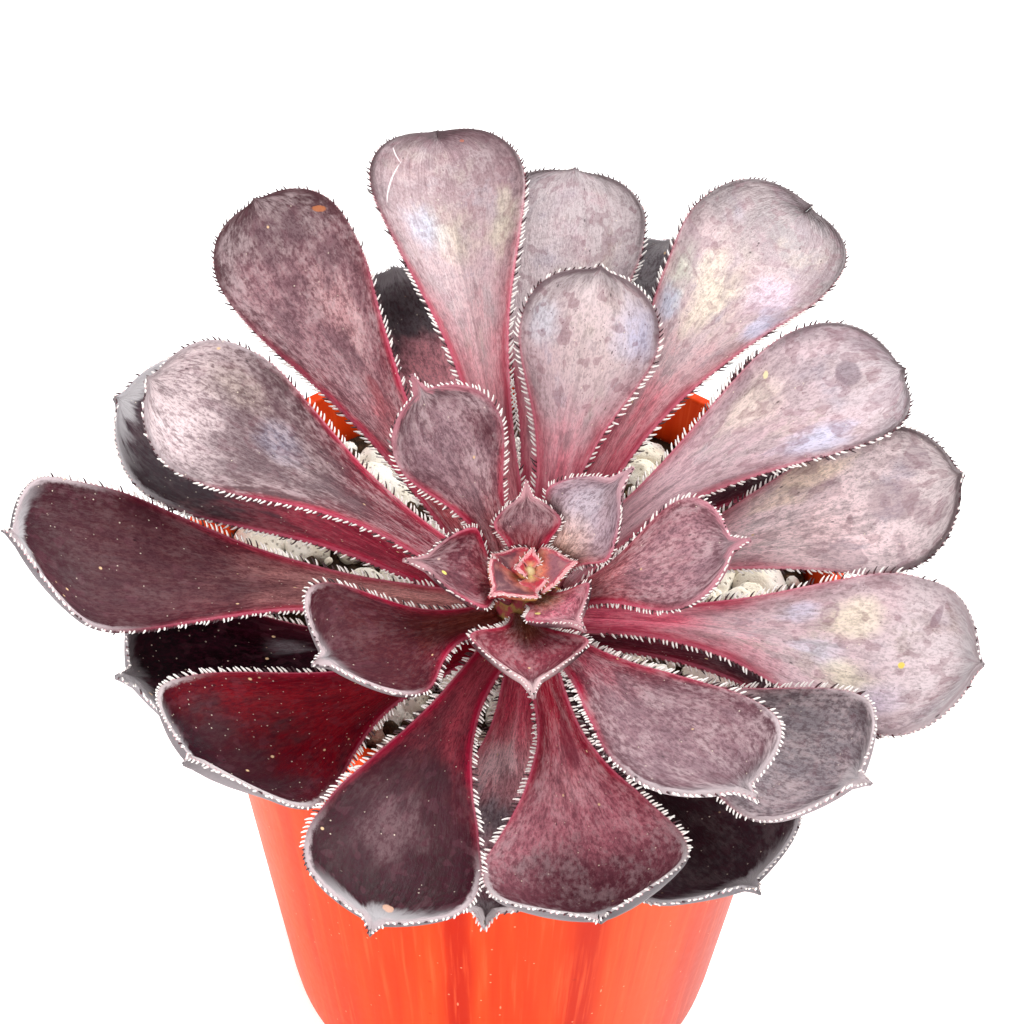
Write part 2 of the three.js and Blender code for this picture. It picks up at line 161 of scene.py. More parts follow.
# The leaves from the heart outwards. nudge turns a leaf off its golden-angle place, rise
# is its slope at the base and at the end, half is its half width, cup the half angle of
# its cross-section, roll and bend its twist and its sideways curve, all in degrees or
# millimetres. curl lifts the last quarter of the blade and notch dents its end. A blunt leaf
# has a shorter point, an acute one narrows towards it in nearly straight lines, and widest
# is the place of the greatest width.
LEAVES = [
    dict(nudge=4, length=11.6, rise=(65, 52), half=4.4, cup=30, acute=True),
    dict(nudge=-14, length=15.5, rise=(60, 38), half=4.9, cup=42, roll=8, acute=True),
    dict(nudge=16, length=17.7, rise=(60, 34), half=6, cup=48, roll=-12, acute=True, widest=0.46),
    dict(nudge=0, length=19, rise=(68, 36), half=6.4, cup=36, acute=True, widest=0.52),
    dict(nudge=6, length=23.4, rise=(52, 34), half=7.9, cup=48, roll=-6, bend=12, acute=True),
    dict(nudge=6, length=29, rise=(64, 32), half=7.2, cup=28, roll=-10, curl=10),
    dict(nudge=1, length=30.6, rise=(62, 32), half=7.4, cup=26, bend=14, curl=8),
    dict(nudge=8, length=33, rise=(40, 34), half=9.8, cup=28, roll=5, bend=4, curl=9),
    dict(nudge=6, length=38.6, rise=(35, 20), half=9, cup=25, roll=4, bend=3, curl=5, blunt=True),
    dict(nudge=3, length=49, rise=(52, 18), half=10, cup=26, roll=-14, bend=15, curl=12),
    dict(nudge=2, length=50, rise=(32, 16), half=10.2, cup=22, roll=6, bend=2, curl=12, blunt=True),
    dict(nudge=20, length=51.5, rise=(32, 4), half=10, cup=27, roll=-6, bend=-18, curl=-8, blunt=True),
    dict(nudge=2.8, length=55.2, rise=(34, 13), half=10.1, cup=23, roll=-8, bend=20, curl=30),
    dict(nudge=0, length=70, rise=(30, -24), half=10.6, cup=27, bend=-4, curl=5, notch=2.4, blunt=True),
    dict(nudge=19, length=53.8, rise=(30, 10), half=10.2, cup=24, roll=9, bend=-5, curl=30, blunt=True),
    dict(nudge=-6, length=66, rise=(16, 36), half=11, cup=32, roll=5, bend=14, curl=40),
    dict(nudge=12, length=68, rise=(28, -22), half=11, cup=28, roll=6, bend=-10, curl=8, notch=1.6,
         blunt=True),
    dict(nudge=9, length=54.6, rise=(25, 30), half=12, cup=36, roll=8, bend=-8, curl=38),
    dict(nudge=-4, length=63, rise=(22, 0), half=9.8, cup=29, roll=-14, bend=-15, blunt=True),
    dict(nudge=19, length=52.6, rise=(24, 5), half=9.8, cup=20, roll=5, bend=-10, curl=40, blunt=True),
    dict(nudge=-4, length=54.5, rise=(19, 40), half=11.9, cup=22, roll=3, bend=12, curl=31),
    dict(nudge=4, length=60, rise=(17, 1), half=10.9, cup=27, roll=-2, bend=-4, blunt=True),
    dict(nudge=12, length=53, rise=(24, 36), half=10.5, cup=26, bend=3, curl=20),
    dict(nudge=-8, length=54, rise=(20, 23), half=11.3, cup=27, roll=6, curl=12, blunt=True),
    dict(nudge=9, length=50, rise=(17, 2), half=10, cup=24, bend=-6, blunt=True),
    dict(nudge=11.5, length=44.2, rise=(20, 21), half=11.2, cup=26, curl=14),
    dict(nudge=-5, length=50, rise=(11.5, -2), half=11, cup=25, curl=6, blunt=True),
    dict(nudge=10, length=48, rise=(16, 6), half=10.5, cup=24),
    dict(nudge=-2, length=51, rise=(16, 25), half=11.3, cup=23, roll=8, bend=4, curl=30),
    dict(nudge=8, length=53, rise=(12, 7), half=11.2, cup=25, curl=12, blunt=True),
    dict(nudge=14, length=51, rise=(22, 28), half=11.3, cup=22, bend=3, curl=24),
]

# The heart's young leaves, from the outermost inwards, in the same terms as LEAVES. base is
# the half width at the base, and seat how far the base lies from the stem's axis.
HEART = [
    dict(nudge=0, length=7.6, rise=(50, 26), half=4.2, cup=34, widest=0.42, base=1.2, seat=1.2),
    dict(nudge=-3, length=6.1, rise=(28, 34), half=3.3, cup=18, widest=0.2, base=2.3, seat=0.6),
    dict(nudge=16, length=4.8, rise=(18, 18), half=3, cup=18, widest=0.2, base=2.2, seat=0.5),
    dict(nudge=0, length=3.6, rise=(30, 10), half=2, cup=30, widest=0.42, base=0.8, seat=0.6),
    dict(nudge=24, length=2.9, rise=(56, 50), half=1.3, cup=34, widest=0.42, base=0.6, seat=0.5),
    dict(nudge=0, length=2.5, rise=(50, 50), half=1.2, cup=34, widest=0.42, base=0.6, seat=0.4),
]
HEART_SEAT = 1.4
HEART_SPACING = 0.2
HEART_THICKNESS = 1.0
HEART_COLUMNS = 17
HEART_HAIR_SIZE = 0.52
HEART_HAIR_START = 0.2
GROWING_TIP = (0.75, 0.75, 1.1)
GROWING_TIP_RISE = 0.9

# View of the photograph
VIEW_RISE_DEG = 39.4
VIEW_ROLL_DEG = 1.76
VIEW_DISTANCE = 300
VIEW_LENS = 77.2
VIEW_OFF_CENTRE = (1.7, 31.5)
VIEW_FOCUS = 2195

# Floor and light. Each lamp has its name, place, the point it is aimed at, width and
# height, watts and colour.
FLOOR_HALF_WIDTH = 2400
FLOOR_GLOW = 0.36
SKY_STRENGTH = 0.56
LIGHTS = [
    ("skylight", (270, 290, 430), (0, -20, 95), (420, 420), 4.4, (1, 1, 1)),
    ("window", (-170, -420, 300), (0, -30, 60), (320, 320), 1.9, (1.0, 0.98, 0.96)),
    ("left_strip", (-420, -300, 160), (0, -30, 40), (80, 380), 0.4, (1, 1, 1)),
    ("right_strip", (430, -280, 160), (0, -30, 40), (120, 380), 0.05, (1, 1, 1)),
]


def smooth_step(low, high, value):
    t = np.clip((np.asarray(value, float) - low) / (high - low), 0, 1)
    return t * t * (3 - 2 * t)


def seeded_random(seed):
    """The same row of numbers from 0 to 1 for the same seed."""
    state = seed
    while True:
        state = (state * 1664525 + 1013904223) % 4294967296
        yield state / 4294967296


def turned(deg):
    """Matrix that turns a point round the vertical axis."""
    a = math.radians(deg)
    return np.array([[math.cos(a), -math.sin(a), 0], [math.sin(a), math.cos(a), 0], [0, 0, 1]])


def from_rosette(points):
    """Points of the rosette's own frame, brought to the model's frame."""
    return points @ LEAN_TURN.T + CROWN


def ripple(seed, *coords):
    """A smooth uneven wave between about -1 and 1 over the given coordinates."""
    random = np.random.default_rng(seed)
    total = 0
    for _ in range(RIPPLE_WAVES):
        angle = random.uniform(0, 2 * math.pi)
        for coord in coords:
            angle = angle + coord * random.normal(0, 1)
        total = total + np.sin(angle)
    return total / math.sqrt(RIPPLE_WAVES)


def unit_rows(vectors):
    return vectors / np.linalg.norm(vectors, axis=1, keepdims=True)


# Meshes
def new_object(name, points, faces, materials, uvs=None, face_materials=None, edge_uvs=None):
    mesh = bpy.data.meshes.new(name)
    mesh.from_pydata((np.asarray(points) * MM).tolist(), [], faces)
    for map_name, corners in (("UVMap", uvs), ("Edge", edge_uvs)):
        if corners is not None:
            layer = mesh.uv_layers.new(name=map_name)
            layer.data.foreach_set("uv", np.asarray(corners, dtype=np.float32).ravel())
    for material in materials:
        mesh.materials.append(material)
    if face_materials is not None:
        mesh.polygons.foreach_set("material_index", np.asarray(face_materials, dtype=np.int32))
    mesh.polygons.foreach_set("use_smooth", [True] * len(mesh.polygons))
    mesh.update()
    return put_in_scene(name, mesh)


def put_in_scene(name, data):
    made = bpy.data.objects.new(name, data)
    bpy.context.scene.collection.objects.link(made)
    return made


class Pieces:
    """Gathers vertices, faces, UVs and material numbers of one mesh."""

    def __init__(self):
        self.points = []
        self.faces = []
        self.uvs = []
        self.edge_uvs = []
        self.slots = []
        self.count = 0

    def add(self, points, faces, slot, uvs=None, edge_uvs=None):
        corners = sum(len(face) for face in faces)
        self.points.append(np.asarray(points))
        self.faces.extend([self.count + i for i in face] for face in faces)
        self.count += len(points)
        self.uvs.extend(uvs or [(0, 0)] * corners)
        self.edge_uvs.extend(edge_uvs or [(0, 0)] * corners)
        self.slots.extend([slot] * len(faces))

    def build(self, name, materials):
        points = np.vstack(self.points)
        return new_object(name, points, self.faces, materials, self.uvs, self.slots, self.edge_uvs)


def tube_faces(rings, sides, u_values, v_values, closed_start=True):
    """Faces and corner UVs of a closed tube. u_values has one more entry than there are sides."""
    faces = []
    uvs = []
    for ring in range(rings - 1):
        a = ring * sides
        low = v_values[ring]
        high = v_values[ring + 1]
        for i in range(sides):
            j = (i + 1) % sides
            u = u_values[i]
            next_u = u_values[i + 1]
            faces.append((a + i, a + j, a + sides + j, a + sides + i))
            uvs.extend([(u, low), (next_u, low), (next_u, high), (u, high)])
    if closed_start:
        faces.append(tuple(reversed(range(sides))))
        uvs.extend([(u_values[i], v_values[0]) for i in reversed(range(sides))])
    start = (rings - 1) * sides
    faces.append(tuple(range(start, start + sides)))
    uvs.extend([(u_values[i], v_values[-1]) for i in range(sides)])
    return faces, uvs


def lathe(profile, sides, wave=None):
    """Points and faces of a closed turned body whose profile starts and ends on the axis."""
    points = [(0, 0, profile[0][1])]
    turn = np.arange(sides) * 2 * math.pi / sides
    inner = profile[1:-1]
    for r, z in inner:
        radius = np.full(sides, r) if wave is None else wave(r, z, turn)
        points.extend(zip(radius * np.cos(turn), radius * np.sin(turn), np.full(sides, z)))
    points.append((0, 0, profile[-1][1]))
    top = 1 + (len(inner) - 1) * sides
    after = [(i + 1) % sides for i in range(sides)]
    faces = [(0, 1 + after[i], 1 + i) for i in range(sides)]
    for a in range(1, top, sides):
        faces.extend((a + i, a + after[i], a + sides + after[i], a + sides + i) for i in range(sides))
    faces.extend((top + i, top + after[i], top + sides) for i in range(sides))
    return np.array(points, float), faces


def unit_ball(subdivisions):
    bpy.ops.mesh.primitive_ico_sphere_add(subdivisions=subdivisions, radius=1)
    ball = bpy.context.object
    points = np.array([v.co[:] for v in ball.data.vertices])
    faces = [tuple(p.vertices) for p in ball.data.polygons]
    bpy.data.objects.remove(ball)
    return points, faces


# Leaf shape: width, direction and midrib as functions of s, from the base to the tip
def half_width_at(s, blade):
    half = blade["half"]
    widest = blade["widest"]
    grow = smooth_step(0, 1, (np.minimum(s, widest) / widest) ** BASE_FLARE)
    wide = blade["base"] + (half - blade["base"]) * grow
    tip_length = BLUNT_POINT_LENGTH if blade.get("blunt") else POINT_LENGTH
    point = min(tip_length / blade["length"], LONGEST_POINT)
    x = np.clip((s - widest) / (1 - point - widest), 0, 1)
    bow, fullness = ACUTE_OUTLINE if blade.get("acute") else ROUND_OUTLINE
    rounded = half * (1 - x ** bow) ** fullness
    near_tip = np.clip((1 - s) / (POINT_REACH * point), 0, 1)
    point_half = POINT_HALF_WIDTH * min(1, half / GROWN_HALF_WIDTH)
    pointed = np.maximum(rounded, TIP_HALF_WIDTH + point_half * near_tip ** POINT_HOLLOW)
    return np.where(s < widest, wide, pointed)


def leaf_direction(s, blade):
    low, high = blade["rise"]
    curl = blade.get("curl", 0) * smooth_step(CURL_START, 1, s)
    rise = np.radians(low + (high - low) * s + curl)
    heading = np.radians(blade.get("bend", 0) * s)
    level = np.cos(rise)
    return np.stack([level * np.cos(heading), level * np.sin(heading), np.sin(rise)], axis=-1)


def leaf_axes(s, blade):
    """Midrib points, and the along, side and normal directions of the blade, at each s."""
    fine = np.linspace(0, 1, MIDRIB_STEPS + 1)
    middle = (fine[1:] + fine[:-1]) / 2
    steps = leaf_direction(middle, blade) * (blade["length"] / MIDRIB_STEPS)
    path = np.vstack([[0, 0, 0], np.cumsum(steps, axis=0)])
    centre = np.stack([np.interp(s, fine, path[:, k]) for k in range(3)], axis=-1)
    along = leaf_direction(s, blade)
    level = np.stack([-along[..., 1], along[..., 0], np.zeros_like(s)], axis=-1)
    level /= np.linalg.norm(level, axis=-1, keepdims=True)
    upright = np.cross(along, level)
    roll = np.radians(blade.get("roll", 0) * smooth_step(0.1, 0.8, s))[..., None]
    side = level * np.cos(roll) + upright * np.sin(roll)
    normal = upright * np.cos(roll) - level * np.sin(roll)
    return centre, along, side, normal


def leaf_surface(s, u, blade):
    """Points on the blade's middle sheet, with its outward direction and its thickness."""
    s, u = np.broadcast_arrays(np.asarray(s, float), np.asarray(u, float))
    centre, along, side, normal = leaf_axes(s, blade)
    length = blade["length"]
    mature = min(1, length / MATURE_LENGTH)
    half = half_width_at(s, blade)
    edge_wave = ripple(blade["seed"], s * length / 3.2, np.sign(u) * 3.0)
    half = half * (1 + EDGE_WAVE * mature * edge_wave * smooth_step(0.3, 1, np.abs(u)))
    cup = math.radians(blade["cup"])
    angle = (u * cup)[..., None]
    pull = blade.get("notch", 0) * smooth_step(0.7, 1, s) * (1 - u * u) ** 2
    radius = (half / cup)[..., None]
    point = centre + side * radius * np.sin(angle) + normal * radius * (1 - np.cos(angle))
    point = point - along * pull[..., None]
    outward = normal * np.cos(angle) - side * np.sin(angle)
    swell = SKIN_SWELL * mature * ripple(blade["seed"] + 1, s * length / 9, u * blade["half"] / 5)
    groove = -MIDRIB_GROOVE * mature * np.exp(-(u / 0.1) ** 2) * (1 - smooth_step(0.55, 0.9, s))
    point = point + outward * (swell * smooth_step(0.1, 0.4, s) + groove)[..., None]
    middle = blade["thick"] + (LEAF_END_THICKNESS - blade["thick"]) * s
    thick = LEAF_EDGE_THICKNESS + (middle - LEAF_EDGE_THICKNESS) * (1 - u * u)
    rounding = np.clip(0.5 * LEAF_EDGE_THICKNESS / np.maximum(half, 0.5), 0.02, 0.9)
    beyond = np.clip((np.abs(u) - (1 - rounding)) / rounding, 0, 1)
    return point, outward, thick * np.sqrt(1 - beyond ** 2)


def leaf_rings(length):
    """The places along the blade where its cross-sections lie, closer together at the tip."""
    runs = YOUNG_LEAF_RINGS if length < YOUNG_LENGTH else LEAF_RINGS
    rings = [np.linspace(low, high, count)[:-1] for low, high, count in runs]
    return np.append(np.concatenate(rings), 1.0)


def edge_distance(s, across, blade):
    """Distance of each point of the flattened blade from its outline, in millimetres."""
    half = half_width_at(s, blade)
    y = s * blade["length"]
    rows = np.broadcast_to(y[:, None], (len(s), len(across)))
    inside = np.stack([across[None, :] * half[:, None], rows], -1)
    outline = np.concatenate([np.stack([half, y], -1), np.stack([-half, y], -1)])
    gaps = np.linalg.norm(inside[:, :, None, :] - outline[None, None, :, :], axis=-1)
    return gaps.min(axis=2)


def over_and_under(upper, lower):
    """Rings round the blade: all of the upper row, and the lower one back without its ends."""
    return np.concatenate([upper, lower[:, 1:-1][:, ::-1]], axis=1)


def add_blade(pieces, blade, place, slot, columns=LEAF_COLUMNS):
    """One closed blade. U of the UV map runs 0 to 1 over the face and 1 to 2 below; V is s."""
    s = leaf_rings(blade["length"])
    across = np.sin(np.linspace(-math.pi / 2, math.pi / 2, columns))
    point, outward, thick = leaf_surface(s[:, None], across[None, :], blade)
    offset = outward * (thick / 2)[..., None]
    ring = over_and_under(point + offset, point - offset)
    reach = edge_distance(s, across, blade)
    around = over_and_under(reach, reach).ravel() / EDGE_SCALE
    u_upper = (across + 1) / 2
    u_values = np.concatenate([u_upper, 2 - u_upper[1:-1][::-1], [2.0]])
    faces, uvs = tube_faces(len(s), ring.shape[1], u_values, s)
    flipped_faces = []
    flipped_uvs = []
    start = 0
    for face in faces:
        flipped_faces.append(face[::-1])
        flipped_uvs.extend(reversed(uvs[start:start + len(face)]))
        start += len(face)
    edge_uvs = [(around[corner], 0) for face in flipped_faces for corner in face]
    pieces.add(place(ring.reshape(-1, 3)), flipped_faces, slot, flipped_uvs, edge_uvs)


def hair_roots(blade, sign, spacing, start, random):
    """Places of the hairs on one margin, with the ways forward, out of it and off the blade."""
    fine = np.linspace(start, 1, 400)
    margin = leaf_surface(fine, sign, blade)[0]
    run = np.concatenate([[0], np.cumsum(np.linalg.norm(np.diff(margin, axis=0), axis=1))])
    count = int(run[-1] / spacing)
    at = (np.arange(count) + random.uniform(0.25, 0.75, count)) / count * run[-1]
    s = np.interp(at, run, fine)
    root = leaf_surface(s, sign, blade)[0]
    near = leaf_surface(s, sign * 0.93, blade)[0]
    ahead = leaf_surface(np.minimum(s + MARGIN_STEP, 1), sign, blade)[0]
    back = leaf_surface(s - MARGIN_STEP, sign, blade)[0]
    forward = unit_rows(ahead - back)
    out = root - near
    out = unit_rows(out - forward * np.sum(out * forward, axis=1, keepdims=True))
    return s, root, forward, out, np.cross(forward, out)


def add_hairs(pieces, blade, place, slot, size, start=HAIR_START, end_shadowing=0.0):
    """The comb of short thick hairs along both margins, bent towards the tip."""
    random = np.random.default_rng(blade["seed"] + 50)
    turns = [2 * math.pi * i / HAIR_SIDES for i in range(HAIR_SIDES)]
    for sign in (-1.0, 1.0):
        roots = hair_roots(blade, sign, HAIR_SPACING * size, start, random)
        for s, root, forward, out, lift in zip(*roots):
            shorter = 1 - HAIR_SHORTENING * smooth_step(0.72, 0.9, s)
            length = HAIR_LENGTH * size * random.uniform(*HAIR_LENGTHS) * shorter
            grow = out + forward * random.normal(*HAIR_LEAN) + lift * random.normal(*HAIR_LIFT)
            grow /= np.linalg.norm(grow)
            bow = forward * random.normal(*HAIR_BOW)
            first = np.cross(grow, forward)
            first /= np.linalg.norm(first)
            second = np.cross(grow, first)
            # Hairs of low tone are dark, painted shadow, and near the end their share changes
            tone = random.uniform(0, 1) - end_shadowing * float(smooth_step(0.7, 0.85, s))
            thick = size * (HAIR_RADIUS if tone > SHADOW_HAIR_SHARE else SHADOW_HAIR_RADIUS)
            rings = []
            for knot, share in zip(HAIR_KNOTS, HAIR_PROFILE):
                centre = root + (grow * knot + bow * knot * knot) * length - out * HAIR_SINK
                for a in turns:
                    way = first * math.cos(a) + second * math.sin(a)
                    rings.append(centre + way * thick * share)
            tones = [tone] * (HAIR_SIDES + 1)
            faces, uvs = tube_faces(len(HAIR_KNOTS), HAIR_SIDES, tones, HAIR_KNOTS, False)
            pieces.add(place(np.array(rings)), faces, slot, uvs)


# Materials
def linear(red, green, blue):
    """A screen colour of 0 to 255 as linear light."""
    values = []
    for value in (red, green, blue):
        c = value / 255
        values.append(c / 12.92 if c <= 0.04045 else ((c + 0.055) / 1.055) ** 2.4)
    return (*values, 1.0)


class Value:
    """A number of a material that varies over the surface."""

    def __init__(self, shade, socket):
        self.shade = shade
        self.socket = socket

    def __add__(self, other):
        return self.shade.math("ADD", self, other)

    def __sub__(self, other):
        return self.shade.math("SUBTRACT", self, other)

    def __mul__(self, other):
        return self.shade.math("MULTIPLY", self, other)

    def __abs__(self):
        return self.shade.math("ABSOLUTE", self)

    def step(self, low, high):
        """Turns smoothly from 0 at low to 1 at high, which may be the smaller of the two."""
        node = self.shade.nodes.new("ShaderNodeMapRange")
        node.interpolation_type = "SMOOTHSTEP"
        self.shade.put(node.inputs["Value"], self)
        ends = (low, high, 0.0, 1.0) if low < high else (high, low, 1.0, 0.0)
        for name, end in zip(("From Min", "From Max", "To Min", "To Max"), ends):
            node.inputs[name].default_value = end
        return Value(self.shade, node.outputs["Result"])

    def swing(self, reach):
        """How far the value lies from one half, times reach."""
        return (self - 0.5) * reach


class Shade:
    """Builds one material's nodes from short expressions."""

    def __init__(self, name):
        self.material = bpy.data.materials.new(name)
        self.material.use_nodes = True
        self.tree = self.material.node_tree
        self.nodes = self.tree.nodes
        self.principled = self.nodes["Principled BSDF"]

    def put(self, socket, value):
        if isinstance(value, Value):
            value = value.socket
        if isinstance(value, bpy.types.NodeSocket):
            self.tree.links.new(value, socket)
        else:
            socket.default_value = value

    def made(self, kind, inputs, **settings):
        """A new node with its inputs put in by name or number."""
        node = self.nodes.new(kind)
        for name, setting in settings.items():
            setattr(node, name, setting)
        for name, value in inputs.items():
            self.put(node.inputs[name], value)
        return node.outputs

    def math(self, operation, a, b=0.0):
        return Value(self, self.made("ShaderNodeMath", {0: a, 1: b}, operation=operation)[0])

    def mix(self, factor, a, b):
        return self.made("ShaderNodeMix", {0: factor, 6: a, 7: b}, data_type="RGBA")[2]

    def paint(self, color, amount, tone):
        """Lays a screen colour over another colour by the given amount."""
        return self.mix(amount, color, linear(*tone))

    def vector(self, x, y, z=0.0):
        return self.made("ShaderNodeCombineXYZ", {0: x, 1: y, 2: z})[0]

    def parts(self, vector):
        return [Value(self, part) for part in self.made("ShaderNodeSeparateXYZ", {0: vector})]

    def noise(self, vector, scale, detail=3.0, rough=0.55):
        inputs = dict(Vector=vector, Scale=scale, Detail=detail, Roughness=rough)
        return Value(self, self.made("ShaderNodeTexNoise", inputs)["Fac"])

    def cells(self, vector, scale):
        """The distance to the middle of each cell, and the cell's own random number."""
        outputs = self.made("ShaderNodeTexVoronoi", dict(Vector=vector, Scale=scale))
        return Value(self, outputs["Distance"]), self.parts(outputs["Color"])[0]

    def specks(self, vector, scale, share, size):
        """Small round dots in the given share of the cells."""
        distance, number = self.cells(vector, scale)
        return distance.step(size, size * 0.5) * self.math("LESS_THAN", number, share)

    def uv(self, map_name="UVMap"):
        return self.parts(self.made("ShaderNodeUVMap", {}, uv_map=map_name)["UV"])

    def place(self):
        """The point in the object's own frame, in millimetres."""
        point = self.made("ShaderNodeTexCoord", {})["Object"]
        return self.made("ShaderNodeVectorMath", dict(Vector=point, Scale=1 / MM), operation="SCALE")[0]

    def bump(self, height, strength, distance_mm):
        inputs = dict(Strength=strength, Distance=distance_mm * MM, Height=height)
        self.put(self.principled.inputs["Normal"], self.made("ShaderNodeBump", inputs)["Normal"])

    def finish(self, color, rough, **extra):
        self.put(self.principled.inputs["Base Color"], color)
        self.put(self.principled.inputs["Roughness"], rough)
        for name, value in extra.items():
            self.put(self.principled.inputs[name.replace("_", " ")], value)
        return self.material


# Looks of the leaves. base, body and end are the colours along the blade, side that of its
# flanks near the base, rim that of the edge at the leaf's end, which is painted shade where it
# is dark and painted sheen where it is pale, and veil that of the pale veil, partly a coating on
# the skin and partly painted sheen. The rest are amounts: bloom_and_sheen of the veil and
# painted_sheen of its tinted patches, which are painted sheen, redness of the flanks, line of
# the crimson margin, tip of the rim, frost_and_sheen of the grey end, a grey coating with
# painted sheen, shaded of the painted shade in a strip inside the edge, mottle of light and
# grain of dark patches in the skin, blots of dried drops, and freckles, specks and gloss.
PALE = dict(base=(222, 84, 114), side=(196, 40, 78), body=(190, 160, 166), end=(186, 164, 168),
            rim=(66, 46, 50), veil=(238, 214, 218), painted_sheen=0.4, bloom_and_sheen=0.7, redness=0.55, line=0.4,
            freckles=0.8, blots=0.0, specks=0.1, tip=0.8, frost_and_sheen=0.0, shaded=0.4, gloss=0.35, mottle=0.45,
            grain=0.45)
PLUM = dict(base=(176, 64, 80), side=(156, 20, 52), body=(112, 74, 82), end=(102, 78, 86),
            rim=(196, 180, 184), veil=(186, 152, 162), painted_sheen=0.0, bloom_and_sheen=0.5, redness=0.7, line=0.75,
            freckles=0.4, blots=0.0, specks=0.25, tip=0.6, frost_and_sheen=0.3, shaded=0.5, gloss=0.2, mottle=0.72,
            grain=0.75)
DARK = dict(base=(110, 34, 50), side=(96, 14, 32), body=(34, 24, 29), end=(46, 38, 43),
            rim=(176, 170, 174), veil=(110, 96, 106), painted_sheen=0.0, bloom_and_sheen=0.2, redness=0.5, line=0.2,
            freckles=0.2, blots=0.0, specks=0.5, tip=0.7, frost_and_sheen=0.5, shaded=0.5, gloss=0.08, mottle=0.14,
            grain=0.55)
CRIMSON = dict(base=(166, 22, 52), side=(136, 6, 36), body=(104, 26, 44), end=(70, 44, 54),
               rim=(200, 188, 190), veil=(196, 120, 136), painted_sheen=0.0, bloom_and_sheen=0.15, redness=0.8,
               line=0.6, freckles=0.3, blots=0.0, specks=0.4, tip=0.7, frost_and_sheen=0.5, shaded=0.5, gloss=0.12,
               mottle=0.48, grain=0.62)
